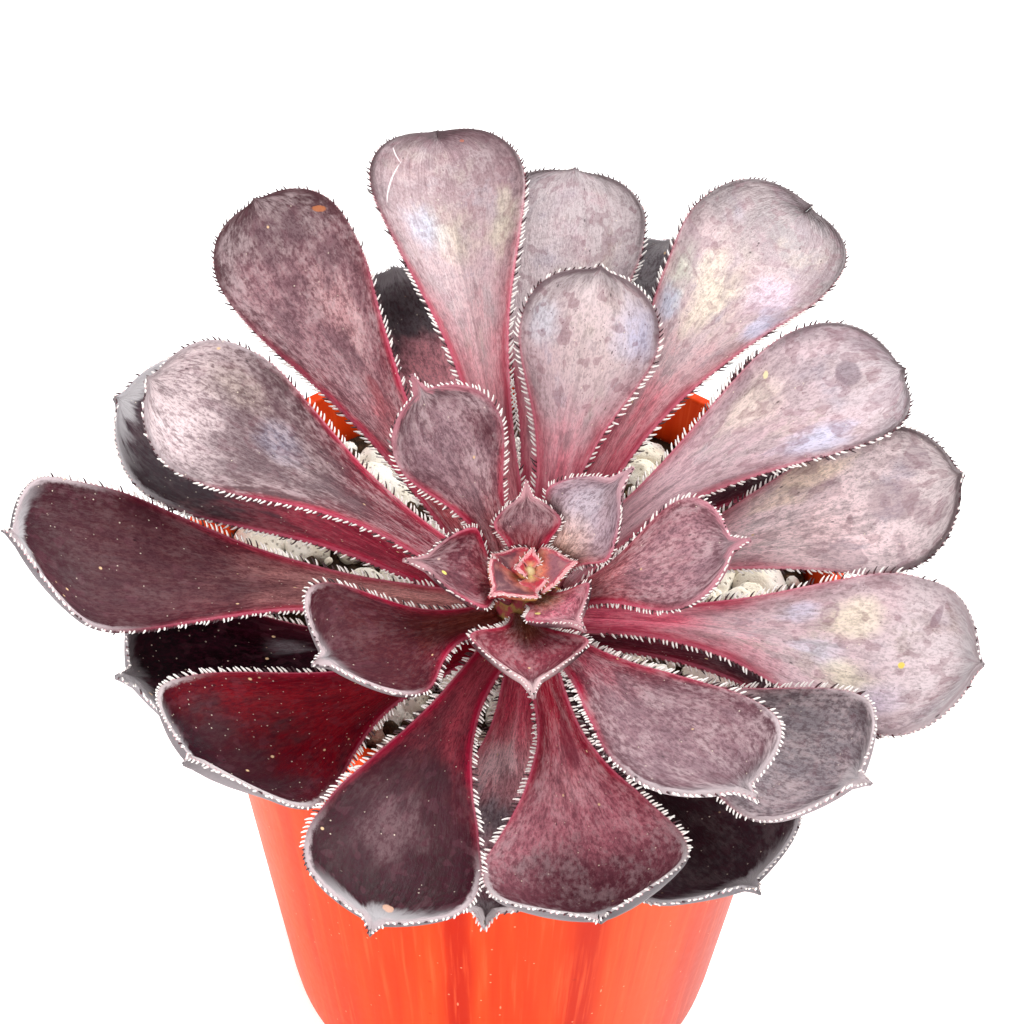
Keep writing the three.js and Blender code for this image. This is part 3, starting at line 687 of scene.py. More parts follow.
LEAF_LOOKS = [
    dict(PLUM, base=(176, 50, 64), body=(152, 106, 114), end=(168, 126, 132),
         rim=(226, 160, 170)),
    dict(PLUM, base=(214, 150, 110), body=(216, 110, 132), end=(190, 126, 138), bloom_and_sheen=0.2,
         rim=(230, 172, 180)),
    dict(PLUM, base=(206, 92, 104), body=(124, 52, 66), end=(114, 74, 82), bloom_and_sheen=0.15,
         rim=(230, 172, 180)),
    dict(PALE, base=(240, 186, 166), body=(176, 152, 166), end=(150, 122, 132), bloom_and_sheen=0.55,
         rim=(216, 166, 176), redness=0.1, freckles=0.2, mottle=0.6, grain=0.75),
    dict(CRIMSON, base=(146, 84, 46), body=(140, 44, 60), end=(124, 64, 74), rim=(230, 196, 198),
         frost_and_sheen=0.25),
    dict(PLUM, base=(212, 110, 118), body=(150, 114, 122), end=(120, 88, 94), bloom_and_sheen=0.6,
         rim=(196, 112, 128)),
    dict(PLUM, base=(234, 130, 134), body=(174, 116, 126), end=(156, 116, 126), redness=0.4,
         rim=(214, 136, 152), veil=(200, 162, 174)),
    dict(PLUM, base=(140, 58, 42), body=(78, 12, 22), end=(78, 34, 42), bloom_and_sheen=0.04, rim=(206, 186, 190),
         tip=0.9, frost_and_sheen=0.7, mottle=0.12, gloss=0.05),
    dict(PALE, base=(230, 88, 116), body=(182, 152, 158), end=(202, 188, 190), freckles=1.0,
         rim=(86, 60, 68)),
    dict(PLUM, base=(206, 76, 100), body=(120, 82, 91), end=(110, 84, 91), bloom_and_sheen=0.55, tip=0.7,
         shaded=0.35),
    dict(PLUM, base=(160, 34, 62), body=(70, 34, 38), end=(220, 200, 202), bloom_and_sheen=0.32, line=0.85,
         rim=(150, 136, 140), veil=(186, 160, 168), shaded=0.3, frost_and_sheen=0.0),
    dict(PALE, base=(255, 200, 212), body=(202, 170, 178), end=(196, 182, 188), blots=0.3, redness=0.15),
    dict(PLUM, base=(204, 74, 92), body=(54, 18, 26), end=(30, 2, 9), bloom_and_sheen=0.12, line=0.8, tip=0.9,
         frost_and_sheen=0.9, veil=(150, 120, 130), gloss=0.06, mottle=0.06),
    dict(PALE, base=(250, 142, 156), body=(170, 140, 144), end=(112, 80, 88), freckles=0.6, line=0.7),
    dict(PALE, base=(248, 96, 128), body=(206, 174, 182), end=(196, 184, 188), bloom_and_sheen=0.8,
         rim=(150, 130, 134), tip=0.5, redness=0.8, frost_and_sheen=0.3),
    dict(PLUM, base=(242, 164, 160), side=(150, 18, 50), body=(82, 36, 42), end=(52, 24, 30), bloom_and_sheen=0.1,
         redness=0.5, line=0.45, specks=0.5, tip=0.9, frost_and_sheen=0.9, mottle=0.14, gloss=0.06),
    dict(PALE, base=(232, 86, 112), body=(196, 168, 170), end=(134, 126, 128), bloom_and_sheen=0.75, blots=0.35),
    dict(CRIMSON, base=(200, 20, 56), body=(182, 104, 118), end=(56, 18, 28), bloom_and_sheen=0.3, redness=0.9,
         tip=0.9, frost_and_sheen=0.9, shaded=0.35),
    dict(PLUM, base=(214, 86, 96), body=(150, 98, 106), end=(94, 70, 72), bloom_and_sheen=0.4, line=0.95,
         rim=(74, 40, 46), frost_and_sheen=0.0),
    dict(PALE, base=(244, 96, 132), body=(255, 226, 230), end=(214, 200, 202), bloom_and_sheen=0.8, blots=0.35),
    dict(CRIMSON, base=(150, 0, 24), side=(120, 0, 18), body=(134, 0, 20), end=(18, 6, 10), bloom_and_sheen=0.0,
         line=0.4, specks=1.0, tip=0.9, frost_and_sheen=0.8, mottle=0.03, gloss=0.03),
    dict(PALE, body=(188, 172, 175), end=(186, 174, 177), blots=0.15),
    dict(PLUM, base=(140, 50, 70), body=(134, 124, 128), end=(122, 112, 117), line=0.2,
         tip=0.8, frost_and_sheen=0.5, veil=(186, 176, 184), shaded=0.4),
    dict(DARK, base=(180, 34, 62), body=(52, 32, 40), end=(66, 57, 63), tip=0.9, frost_and_sheen=0.9, line=0.7),
    dict(DARK, base=(150, 60, 78)),
    # Leaf 25 lies in the gap between leaves: its light body is partly painted light falling in
    dict(CRIMSON, base=(255, 84, 116), body=(255, 196, 204), end=(128, 120, 126), bloom_and_sheen=0.4, tip=0.5,
         redness=0.3, shaded=0.2),
    dict(DARK, base=(255, 130, 150), body=(72, 58, 65), end=(128, 124, 128), bloom_and_sheen=0.4),
    dict(DARK, base=(110, 24, 44)),
    dict(DARK, base=(54, 20, 30), body=(14, 0, 4), end=(26, 18, 22), bloom_and_sheen=0.02, specks=0.9, line=0.1,
         gloss=0.03, mottle=0.0),
    dict(DARK, base=(120, 60, 76), body=(150, 144, 148), end=(160, 156, 160), bloom_and_sheen=0.4, line=0.1),
    dict(DARK, base=(56, 24, 32), body=(48, 29, 34), end=(48, 37, 43), bloom_and_sheen=0.1, line=0.1, tip=0.9,
         frost_and_sheen=0.8),
]
# Single marks: leaf, place on the blade and half size (each across, then along, in
# millimetres), turn in degrees, colour and strength. A ring is darker in its outline and a
# glow has soft edges. The pale, blue, cream and lilac glows are painted sheen, and leaf 25's
# pale glow at 18.5 mm is painted light falling into the gap between leaves.
MARKS = [
    (0, 0.4, 4.4, 2.2, 2.0, 0, (120, 30, 40), 0.35, "spot"),
    (1, -3.2, 7.6, 0.5, 0.35, 20, (226, 214, 130), 0.9, "spot"),
    (2, 1.6, 12.2, 0.42, 0.36, 0, (240, 226, 120), 1.0, "spot"),
    (2, -1.4, 13.0, 0.3, 0.25, 0, (230, 200, 190), 0.8, "spot"),
    (3, 1.5, 11.5, 2.6, 3.4, 0, (206, 206, 222), 0.4, "glow"),
    (3, 0.0, 7.0, 3.0, 2.4, 0, (250, 216, 204), 0.4, "glow"),
    (5, -4.7, 18.8, 1.7, 2.8, -20, (92, 28, 40), 0.75, "glow"),
    (8, -6.0, 31.0, 2.6, 3.4, 0, (188, 194, 228), 0.6, "glow"),
    (8, 6.0, 30.4, 2.2, 2.6, 0, (198, 206, 220), 0.5, "glow"),
    (8, -0.8, 33.4, 5.0, 3.0, 0, (238, 218, 218), 0.45, "glow"),
    (8, -1.0, 27.0, 4.5, 4.0, 0, (228, 208, 204), 0.35, "glow"),
    (10, -1.4, 32.5, 2.6, 3.0, 0, (146, 148, 170), 0.45, "glow"),
    (10, -4.6, 40.0, 2.6, 4.0, 0, (200, 182, 168), 0.4, "glow"),
    (11, 2.0, 44.6, 1.9, 1.5, 10, (104, 84, 98), 0.55, "spot"),
    (11, 7.0, 35.5, 0.5, 0.35, 30, (232, 214, 170), 0.95, "spot"),
    (11, -6.2, 36.5, 2.2, 5.0, 0, (198, 204, 234), 0.65, "glow"),
    (11, 4.7, 32.5, 3.4, 5.0, 0, (238, 226, 204), 0.45, "glow"),
    (11, 5.7, 39.5, 3.0, 3.4, 0, (238, 212, 218), 0.4, "glow"),
    (12, 1.5, 50.4, 1.0, 0.6, 20, (216, 170, 146), 0.8, "spot"),
    (12, -2.0, 38.0, 4.0, 5.5, 0, (138, 106, 112), 0.45, "glow"),
    (13, -5.6, 67.0, 0.4, 0.3, 0, (180, 104, 84), 0.8, "spot"),
    (13, 7.85, 57.4, 0.1, 4.9, 16, (236, 224, 226), 0.85, "spot"),
    (13, 7.5, 63.5, 0.1, 1.75, -36, (236, 224, 226), 0.85, "spot"),
    (13, 4.4, 49.0, 2.6, 3.6, 0, (196, 206, 226), 0.65, "glow"),
    (13, 0.8, 47.0, 2.8, 4.4, 0, (218, 208, 182), 0.5, "glow"),
    (13, -7.4, 47.5, 2.2, 5.0, 0, (208, 202, 174), 0.55, "glow"),
    (13, 1.5, 39.0, 3.5, 6.0, 0, (230, 196, 200), 0.28, "glow"),
    (14, 4.9, 33.9, 1.5, 1.0, 10, (150, 120, 130), 0.6, "ring"),
    (14, 5.9, 46.9, 1.7, 0.5, 20, (132, 104, 116), 0.5, "spot"),
    (14, -0.9, 43.8, 0.4, 0.4, 0, (232, 206, 90), 0.95, "spot"),
    (14, 4.3, 36.6, 2.8, 3.2, 0, (240, 230, 198), 0.6, "glow"),
    (14, 5.4, 30.3, 2.0, 2.6, 0, (200, 204, 232), 0.55, "glow"),
    (14, -1.4, 33.6, 2.4, 2.8, 0, (204, 212, 230), 0.5, "glow"),
    (14, -4.2, 38.2, 2.2, 3.4, 0, (236, 230, 194), 0.55, "glow"),
    (14, -5.8, 42.0, 2.0, 2.6, 0, (222, 204, 232), 0.5, "glow"),
    (14, 0.0, 46.0, 6.0, 4.5, 0, (240, 226, 230), 0.4, "glow"),
    (16, 2.0, 60.0, 2.4, 2.0, 30, (140, 116, 124), 0.4, "ring"),
    (16, 7.7, 44.5, 2.4, 4.0, 0, (208, 216, 194), 0.6, "glow"),
    (16, 7.4, 39.6, 2.2, 2.8, 0, (188, 204, 230), 0.65, "glow"),
    (16, 1.5, 44.5, 4.2, 6.0, 0, (242, 230, 198), 0.55, "glow"),
    (16, -5.5, 49.0, 3.6, 4.0, 0, (228, 204, 228), 0.5, "glow"),
    (16, -9.0, 43.5, 2.4, 3.6, 0, (194, 202, 234), 0.65, "glow"),
    (17, 5.2, 11.5, 3.0, 4.0, 0, (124, 6, 30), 0.6, "glow"),
    (17, 3.4, 18.9, 2.6, 5.0, 4, (112, 40, 56), 0.6, "spot"),
    (17, 0.0, 26.0, 8.0, 4.0, 0, (204, 140, 150), 0.5, "glow"),
    (17, 0.0, 44.0, 11.0, 7.0, 0, (84, 30, 44), 0.75, "glow"),
    (18, -7.8, 55.6, 1.0, 0.5, 50, (196, 118, 74), 0.75, "spot"),
    (18, -3.4, 41.0, 2.4, 6.0, 0, (220, 164, 166), 0.5, "glow"),
    (18, -2.2, 30.0, 1.4, 2.2, 0, (150, 66, 74), 0.45, "spot"),
    (19, 0.0, 43.2, 2.6, 3.4, 0, (150, 124, 132), 0.5, "spot"),
    (19, 4.4, 45.4, 1.3, 1.7, 0, (160, 138, 146), 0.4, "ring"),
    (19, 7.0, 32.6, 2.8, 5.0, 0, (255, 232, 198), 0.65, "glow"),
    (19, -2.5, 33.0, 4.0, 6.0, 0, (250, 214, 216), 0.5, "glow"),
    (20, 3.0, 47.0, 15.0, 12.0, 0, (46, 31, 37), 0.8, "glow"),
    (23, 0.0, 22.0, 16.0, 13.0, 0, (150, 16, 48), 0.85, "glow"),
    # Painted light falling into the gap between leaves
    (25, -1.8, 18.5, 7.0, 3.6, 0, (250, 214, 220), 0.8, "glow"),
    (25, -1.5, 27.5, 8.0, 4.4, 0, (128, 124, 132), 0.9, "glow"),
    (26, 1.4, 31.0, 12.0, 6.0, 0, (255, 176, 188), 0.95, "glow"),
    (26, 1.0, 43.0, 12.0, 2.6, 0, (44, 38, 42), 0.6, "glow"),
    (28, -4.1, 26.2, 1.6, 2.6, 0, (130, 120, 126), 0.6, "glow"),
]
# Upright bands on the pot: painted highlights where they are light, painted shade in the wide
# dark band on the right side, and two narrow darker bands near the front. Angle from the front
# and half width in degrees, colour and strength
POT_LIGHT_AND_SHADE_BANDS = [
    (-64, 15, (230, 78, 10), 0.7),
    (-9, 4, (176, 26, 0), 0.9),
    (18, 4, (180, 30, 2), 0.8),
    (34, 12, (226, 96, 50), 0.5),
    (66, 18, (162, 40, 8), 0.6),
]


class LeafFace:
    """What the layers of colour on one leaf share: its look, places and noises."""

    def __init__(self, name, index, half, length):
        self.shade = shade = Shade(name)
        self.look = LEAF_LOOKS[index]
        self.index = index
        u_map, self.s, _ = shade.uv()
        u = shade.math("PINGPONG", u_map, 1.0) * 2.0 - 1.0
        self.under = u_map.step(0.998, 1.002)
        self.flank = abs(u)
        self.x = u * half
        self.y = self.s * length
        self.to_edge = shade.uv("Edge")[0] * EDGE_SCALE
        self.flat = self.spot(index * 7.3)
        self.stretched = self.spot(index * 5.7, 0.5)
        self.broad = shade.noise(self.flat, 0.13, 3.0)
        self.patchy = shade.noise(self.stretched, 0.34, 3.5, 0.6)
        self.fine = shade.noise(self.stretched, 1.7, 3.0, 0.7)
        self.grain = shade.noise(self.stretched, 3.6, 2.0, 0.75)
        self.streaks = shade.noise(self.spot(index * 3.1, 0.09), 1.3, 3.5, 0.62)
        self.drift = self.s + self.broad.swing(0.4)
        self.ragged = self.to_edge + self.fine.swing(1.2)

    def spot(self, layer, squeeze=None):
        """The place on the flattened blade, in one of the layers of a noise."""
        return self.shade.vector(self.x, self.y * squeeze if squeeze else self.y, layer)


def blade_colors(face):
    """The colours along the blade and on its flanks."""
    look = face.look
    shade = face.shade
    color = shade.mix(face.drift.step(0.12, 0.58), linear(*look["base"]), linear(*look["body"]))
    color = shade.paint(color, face.drift.step(0.62, 0.98), look["end"])
    sides = (face.flank + face.streaks.swing(0.5)).step(0.35, 0.95) * face.drift.step(0.72, 0.3)
    return shade.paint(color, sides * look["redness"], look["side"])


def add_veil_and_sheen(face, color):
    """The pale veil, partly a coating on the skin and partly painted sheen, with warm, rosy and cool
    patches of painted sheen on a pale leaf.
    """
    shade = face.shade
    tint = linear(*face.look["veil"])
    sheen = face.look["painted_sheen"]
    if sheen:
        warm = shade.noise(face.flat, 0.11, 2.0).step(0.5, 0.68)
        cool = shade.noise(face.spot(face.index + 60), 0.13, 2.0).step(0.53, 0.7)
        rosy = shade.noise(face.spot(face.index + 90), 0.15, 2.0).step(0.52, 0.7)
        tint = shade.paint(tint, warm * sheen, (236, 222, 196))
        tint = shade.paint(tint, rosy * sheen, (232, 178, 192))
        tint = shade.paint(tint, cool * sheen, (196, 200, 226))
    veil = face.patchy * 0.55 + (face.streaks * 0.2 + face.fine * 0.4)
    veil = veil.step(0.5, 0.68) * face.drift.step(0.24, 0.56) * face.to_edge.step(0.4, 3.6)
    return shade.mix(veil * face.look["bloom_and_sheen"], color, tint)


def add_texture(face, color):
    """Darker patches and streaks in a shaded copy of the colour, painted shade in a strip inside the
    edge and in the midrib's crease, lighter patches and the grain of the skin.
    """
    look = face.look
    shade = face.shade
    shadowed = shade.paint(color, 0.6, (44, 12, 24))
    color = shade.mix(face.streaks.step(0.52, 0.7) * 0.4, color, shadowed)
    color = shade.mix(face.patchy.step(0.5, 0.64) * 0.5, color, shadowed)
    # Painted shade in a strip inside the edge, where the blade curves away
    color = shade.mix(face.to_edge.step(3.4, 0.6) * look["shaded"], color, shadowed)
    speckle = shade.paint(color, 0.65, (60, 14, 30))
    color = shade.mix(face.fine.step(0.5, 0.62) * look["grain"], color, speckle)
    color = shade.mix(face.grain.step(0.48, 0.62) * look["grain"], color, speckle)
    bright = shade.paint(color, 0.4, (252, 226, 230))
    crinkled = face.fine * 0.5 + face.patchy * 0.5
    color = shade.mix(crinkled.step(0.56, 0.36) * look["mottle"], color, bright)
    # Painted shade in the midrib's crease
    crease = abs(face.x + (face.broad - 0.5)).step(0.45, 0.1)
    crease = crease * (face.s.step(0.1, 0.25) * face.s.step(0.85, 0.55))
    return shade.mix(crease * 0.35, color, shadowed)


def add_freckles(face, color):
    shade = face.shade
    amount = face.s.step(0.2, 0.5) * face.look["freckles"]
    blotch = shade.noise(face.spot(face.index + 30, 0.8), 0.5, 1.5).step(0.58, 0.62)
    dots = shade.specks(face.spot(face.index + 120), 1.5, 0.4, 0.17)
    color = shade.paint(color, blotch * (amount * 0.4), (120, 72, 84))
    return shade.paint(color, dots * (amount * 0.75), (92, 50, 64))


def add_dried_drops(face, color):
    amount = face.look["blots"]
    if not amount:
        return color
    drop = face.shade.noise(face.flat, 0.17, 1.5, 0.4) + face.fine.swing(0.03)
    outer = face.s.step(0.5, 0.72)
    inside = drop.step(0.545, 0.57) * outer
    outline = drop.step(0.53, 0.55) * drop.step(0.572, 0.556) * outer
    color = face.shade.paint(color, inside * amount, (138, 112, 122))
    return face.shade.paint(color, outline * (0.7 * amount), (128, 84, 98))


def add_edges(face, color):
    """A grey coating with painted sheen at the leaf's end, the crimson margin, the rim of the end,
    painted shade where its colour is dark and painted sheen where it is pale, and the thin pale lip.
    """
    look = face.look
    paint = face.shade.paint
    # Painted sheen over a grey coating on the curled end
    frost_and_sheen_mask = (face.ragged + face.patchy.swing(6.0)).step(2.8, 1.2) * face.s.step(0.86, 0.96)
    color = paint(color, frost_and_sheen_mask * look["frost_and_sheen"], (188, 184, 187))
    uneven = (face.patchy * 0.6 + face.broad * 0.4).step(0.3, 0.55)
    lined = face.ragged.step(1.1, 0.3) * (face.s.step(0.8, 0.4) * uneven)
    color = paint(color, lined * look["line"], (176, 18, 58))
    # The rim of the end: painted shade where the rim colour is dark, painted sheen where it is pale
    ended = face.ragged.step(0.9, 0.3) * face.s.step(0.68, 0.88)
    color = paint(color, ended * look["tip"], look["rim"])
    lip = face.to_edge.step(0.34, 0.12) * (face.s.step(0.85, 0.5) * 0.5)
    return paint(color, lip, (214, 106, 130))


def add_dust(face, color):
    """Pale dust, crumbs of the mix and dark pits."""
    shade = face.shade
    amount = face.look["specks"]
    dust = shade.specks(face.flat, 1.3, 0.05 + 0.35 * amount, 0.17)
    color = shade.paint(color, dust * face.grain.step(0.3, 0.7), (240, 224, 204))
    crumbs = shade.specks(face.spot(face.index * 2.9 + 40), 0.45, 0.3 * amount, 0.13)
    color = shade.paint(color, crumbs, (226, 190, 150))
    pits = shade.specks(face.stretched, 0.8, 0.14, 0.13)
    return shade.paint(color, pits * 0.7, (40, 22, 28))


def add_mark(face, color, mark):
    x, y, wide, tall, turn, tone, strength, kind = mark
    c = math.cos(math.radians(turn))
    d = math.sin(math.radians(turn))
    dx = face.x - x
    dy = face.y - y
    along = (dx * c + dy * d) * (1 / wide)
    across = (dy * c - dx * d) * (1 / tall)
    reach = face.shade.math("SQRT", along * along + across * across)
    if kind == "glow":
        amount = (reach + face.patchy.swing(2.6)).step(1.5, 0.3)
    else:
        reach = reach + face.fine.swing(0.7)
        amount = reach.step(1.15, 0.85)
    if kind == "ring":
        amount = amount * (reach.step(0.6, 0.9) * 0.75 + 0.25)
    return face.shade.paint(color, amount * strength, tone)


def underside_color(face):
    shade = face.shade
    color = shade.mix(face.drift.step(0.2, 0.8), linear(150, 70, 80), linear(70, 42, 50))
    color = shade.paint(color, face.streaks * 0.5, (120, 88, 94))
    # The pale band at the underside's end is a grey coating with painted sheen
    frost_sheen_band = (face.s + face.fine.swing(0.12)).step(0.76, 0.9)
    frost_sheen_tone = shade.paint(linear(*face.look["rim"]), face.look["frost_and_sheen"], (112, 108, 112))
    return shade.mix(frost_sheen_band * 0.9, color, frost_sheen_tone)


def leaf_material(name, index, half, length):
    face = LeafFace(name, index, half, length)
    marks = [mark[1:] for mark in MARKS if mark[0] == index]
    glows = [mark for mark in marks if mark[-1] == "glow"]
    color = add_veil_and_sheen(face, blade_colors(face))
    for mark in glows:
        color = add_mark(face, color, mark)
    for add_layer in (add_texture, add_freckles, add_dried_drops, add_edges, add_dust):
        color = add_layer(face, color)
    for mark in marks:
        if mark not in glows:
            color = add_mark(face, color, mark)
    color = face.shade.mix(face.under, color, underside_color(face))
    face.shade.bump(face.streaks * 0.8 + (face.fine * 0.5 + face.grain * 0.3), 0.6, 0.3)
    return face.shade.finish(color, face.fine * 0.3 + 0.3, Specular_IOR_Level=face.look["gloss"])


def hair_material():
    shade = Shade("leaf_hairs")
    tone, along, _ = shade.uv()
    pale = shade.mix(along.step(0.0, 0.4), linear(206, 140, 150), linear(246, 240, 236))
    # The dark hairs are painted shadow between the pale hairs
    dark = shade.mix(along.step(0.0, 0.6), linear(96, 24, 40), linear(70, 52, 56))
    color = shade.mix(tone.step(SHADOW_HAIR_SHARE + 0.01, SHADOW_HAIR_SHARE - 0.01), pale, dark)
    return shade.finish(color, 0.5, Specular_IOR_Level=0.3)


def pot_material():
    shade = Shade("pot_plastic_look")
    place = shade.place()
    x, y, z = shade.parts(place)
    around = (shade.math("ARCTAN2", y, x) + math.pi / 2) * (180 / math.pi)
    wide = shade.noise(shade.vector(around * 0.24, z * 0.02), 0.6, 2.0)
    color = shade.mix(wide.step(0.35, 0.7), linear(204, 54, 12), linear(218, 68, 20))
    wavy = around + shade.noise(place, 0.03, 2.0).swing(5.0)
    # Painted highlights and painted shade in upright bands round the pot
    for centre, half, tone, strength in POT_LIGHT_AND_SHADE_BANDS:
        offset = abs(wavy - centre) * (1 / half)
        color = shade.paint(color, offset.step(1.3, 0.3) * strength, tone)
    streaks = shade.noise(shade.vector(around * 0.8, z * 0.05), 0.9, 4.0)
    color = shade.paint(color, streaks.step(0.5, 0.75) * 0.35, (246, 108, 60))
    color = shade.paint(color, streaks.step(0.48, 0.25) * 0.35, (182, 38, 6))
    color = shade.paint(color, shade.specks(place, 0.7, 0.3, 0.12) * 0.8, (250, 168, 126))
    scratches = shade.specks(shade.vector(x, y, z * 0.3), 0.5, 0.12, 0.09)
    color = shade.paint(color, scratches * 0.6, (250, 170, 130))
    color = shade.paint(color, shade.specks(place, 0.3, 0.1, 0.12) * 0.4, (150, 30, 8))
    shade.bump(shade.noise(shade.vector(around, z * 0.4), 0.6, 4.0), 0.08, 0.2)
    return shade.finish(color, shade.noise(place, 0.8, 4.0) * 0.14 + 0.3, Specular_IOR_Level=0.06)


def stone_material():
    shade = Shade("pumice_look")
    place = shade.place()
    tone = shade.noise(place, 0.12, 2.0)
    color = shade.mix(tone.step(0.35, 0.65), linear(255, 252, 244), linear(242, 234, 214))
    grain = shade.noise(place, 1.4, 6.0, 0.7)
    color = shade.paint(color, grain.step(0.52, 0.78) * 0.4, (176, 158, 132))
    holes = shade.cells(place, 1.1)[0].step(0.32, 0.1)
    color = shade.paint(color, holes * 0.55, (96, 80, 62))
    low = shade.parts(place)[2].step(STONE_BED_TOP + 1.6, STONE_BED_TOP - 0.6)
    color = shade.paint(color, low * 0.6, (84, 66, 52))
    shade.bump(grain - holes * 0.8, 0.7, 0.5)
    return shade.finish(color, 0.9, Specular_IOR_Level=0.25)


def soil_material():
    shade = Shade("soil_look")
    place = shade.place()
    grain = shade.noise(place, 0.9, 6.0, 0.7)
    color = shade.mix(grain.step(0.3, 0.7), linear(30, 22, 17), linear(84, 62, 44))
    color = shade.paint(color, shade.specks(place, 0.8, 0.1, 0.3), (150, 130, 104))
    shade.bump(grain, 0.9, 0.8)
    return shade.finish(color, 0.95, Specular_IOR_Level=0.2)


def stem_material():
    shade = Shade("stem_look")
    place = shade.place()
    grain = shade.noise(place, 0.8, 6.0, 0.65)
    color = shade.mix(grain.step(0.3, 0.7), linear(98, 78, 58), linear(152, 128, 98))
    color = shade.paint(color, shade.noise(place, 0.2, 3.0) * 0.5, (120, 84, 74))
    green = shade.parts(place)[2].step(CROWN[2] - 16, CROWN[2] - 8)
    fresh = shade.mix(grain.step(0.4, 0.6), linear(140, 48, 58), linear(146, 114, 62))
    color = shade.mix(green, color, fresh)
    shade.bump(grain, 0.6, 0.4)
    return shade.finish(color, 0.8, Specular_IOR_Level=0.3)


# Colours of the heart's young leaves from the outermost inwards: body, and inner base
HEART_LOOKS = [
    ((104, 50, 64), (186, 130, 90)),
    ((156, 98, 110), (226, 148, 116)),
    ((110, 48, 62), (196, 66, 72)),
    ((190, 50, 66), (228, 206, 132)),
    ((194, 36, 62), (238, 220, 144)),
    ((210, 64, 80), (246, 238, 170)),
]


def heart_material(index, half, length):
    body, inner = HEART_LOOKS[index]
    shade = Shade(f"heart_look_{index}")
    u_map, s, _ = shade.uv()
    u = shade.math("PINGPONG", u_map, 1.0) * 2.0 - 1.0
    to_edge = shade.uv("Edge")[0] * EDGE_SCALE
    flat = shade.vector(u * half, s * length, index * 7.3)
    grain = shade.noise(flat, 2.2, 5.0, 0.65)
    patches = shade.noise(flat, 0.6, 3.0)
    drift = s + patches.swing(0.5)
    warm = shade.paint(linear(*inner), 0.5, (206, 50, 66))
    color = shade.mix(drift.step(0.12, 0.34), linear(*inner), warm)
    color = shade.paint(color, drift.step(0.24, 0.52), body)
    color = shade.paint(color, grain.step(0.45, 0.7) * 0.5, (84, 34, 44))
    color = shade.paint(color, patches.step(0.55, 0.35) * 0.35, (206, 150, 146))
    uneven = to_edge + grain.swing(1.1)
    color = shade.paint(color, uneven.step(0.75, 0.1) * 0.75, (206, 34, 70))
    color = shade.paint(color, uneven.step(0.34, 0.1) * 0.75, (250, 196, 198))
    below = shade.mix(s.step(0.3, 0.9), linear(190, 170, 84), linear(170, 60, 70))
    color = shade.mix(u_map.step(0.998, 1.002), color, below)
    shade.bump(grain, 0.4, 0.2)
    return shade.finish(color, grain * 0.25 + 0.36)


# Builders, one for each sub-part
def stem_radius_at(z):
    taper = smooth_step(-STEM_TAPER, 0, z)
    return STEM_RADIUS + (STEM_TIP_RADIUS - STEM_RADIUS) * taper


def seat_depth(index):
    """How far down the stem a leaf sits."""
    inner = min(index, INNER_LEAVES)
    return FIRST_SEAT_DEPTH + inner * INNER_SPACING + (index - inner) * OUTER_SPACING


def settle(made, node):
    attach(made, "root")
    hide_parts(node)


def leaf_blade(index):
    """The leaf's shape with the measures that all leaves share."""
    grown = min(1, index / GROWN_LEAF)
    widest = YOUNG_LEAF_WIDEST_AT + (GROWN_LEAF_WIDEST_AT - YOUNG_LEAF_WIDEST_AT) * grown
    shared = dict(base=LEAF_BASE_HALF_WIDTH, thick=LEAF_BASE_THICKNESS, widest=widest)
    return dict(shared, seed=11 * index + 3, **LEAVES[index])


def build_leaf(index, hairs):
    blade = leaf_blade(index)
    depth = seat_depth(index)
    tuck = LEAF_BASE_THICKNESS / 2 * math.sin(math.radians(blade["rise"][0]))
    reach = stem_radius_at(-depth) + CLEARANCE + tuck
    turn = turned(FIRST_LEAF_DEG - GOLDEN_ANGLE_DEG * index + blade["nudge"])

    def place(points):
        return from_rosette((points + [reach, 0, -depth]) @ turn.T)

    pieces = Pieces()
    add_blade(pieces, blade, place, 0)
    size = SMALLEST_HAIR + (1 - SMALLEST_HAIR) * min(1, blade["length"] / MATURE_LENGTH)
    # More dark hairs, painted shadow, near the end, and fewer where the end has painted sheen
    end_shadowing = -SHEEN_END_PALING if LEAF_LOOKS[index]["frost_and_sheen"] > 0 else END_SHADOW_HAIRS
    add_hairs(pieces, blade, place, 1, size, end_shadowing=end_shadowing)
    skin = leaf_material(f"leaf_skin_{index:02d}", index, blade["half"], blade["length"])
    made = pieces.build(f"leaf_blade_{index:02d}", [skin, hairs])
    settle(made, f"leaf_{index:02d}")


def build_heart(hairs):
    pieces = Pieces()
    skins = []
    for i, shape in enumerate(HEART):
        blade = dict(shape, acute=True, thick=HEART_THICKNESS, seed=400 + i)
        turn = turned(FIRST_LEAF_DEG + GOLDEN_ANGLE_DEG * (i + 1) + shape["nudge"])
        move = [shape["seat"], 0, HEART_SEAT + (i + 1) * HEART_SPACING]

        def place(points, turn=turn, move=move):
            return from_rosette((points + move) @ turn.T)

        add_blade(pieces, blade, place, i, HEART_COLUMNS)
        add_hairs(pieces, blade, place, len(HEART), HEART_HAIR_SIZE, HEART_HAIR_START)
        skins.append(heart_material(i, shape["half"], shape["length"]))
    ball, faces = unit_ball(3)
    tip = ball * GROWING_TIP + [0, 0, HEART_SEAT + GROWING_TIP_RISE]
    corners = 3 * len(faces)
    pieces.add(from_rosette(tip), faces, len(HEART) - 1, [(0.5, 0.05)] * corners, [(0.2, 0)] * corners)
    made = pieces.build("heart_leaves", [*skins, hairs])
    settle(made, "heart")


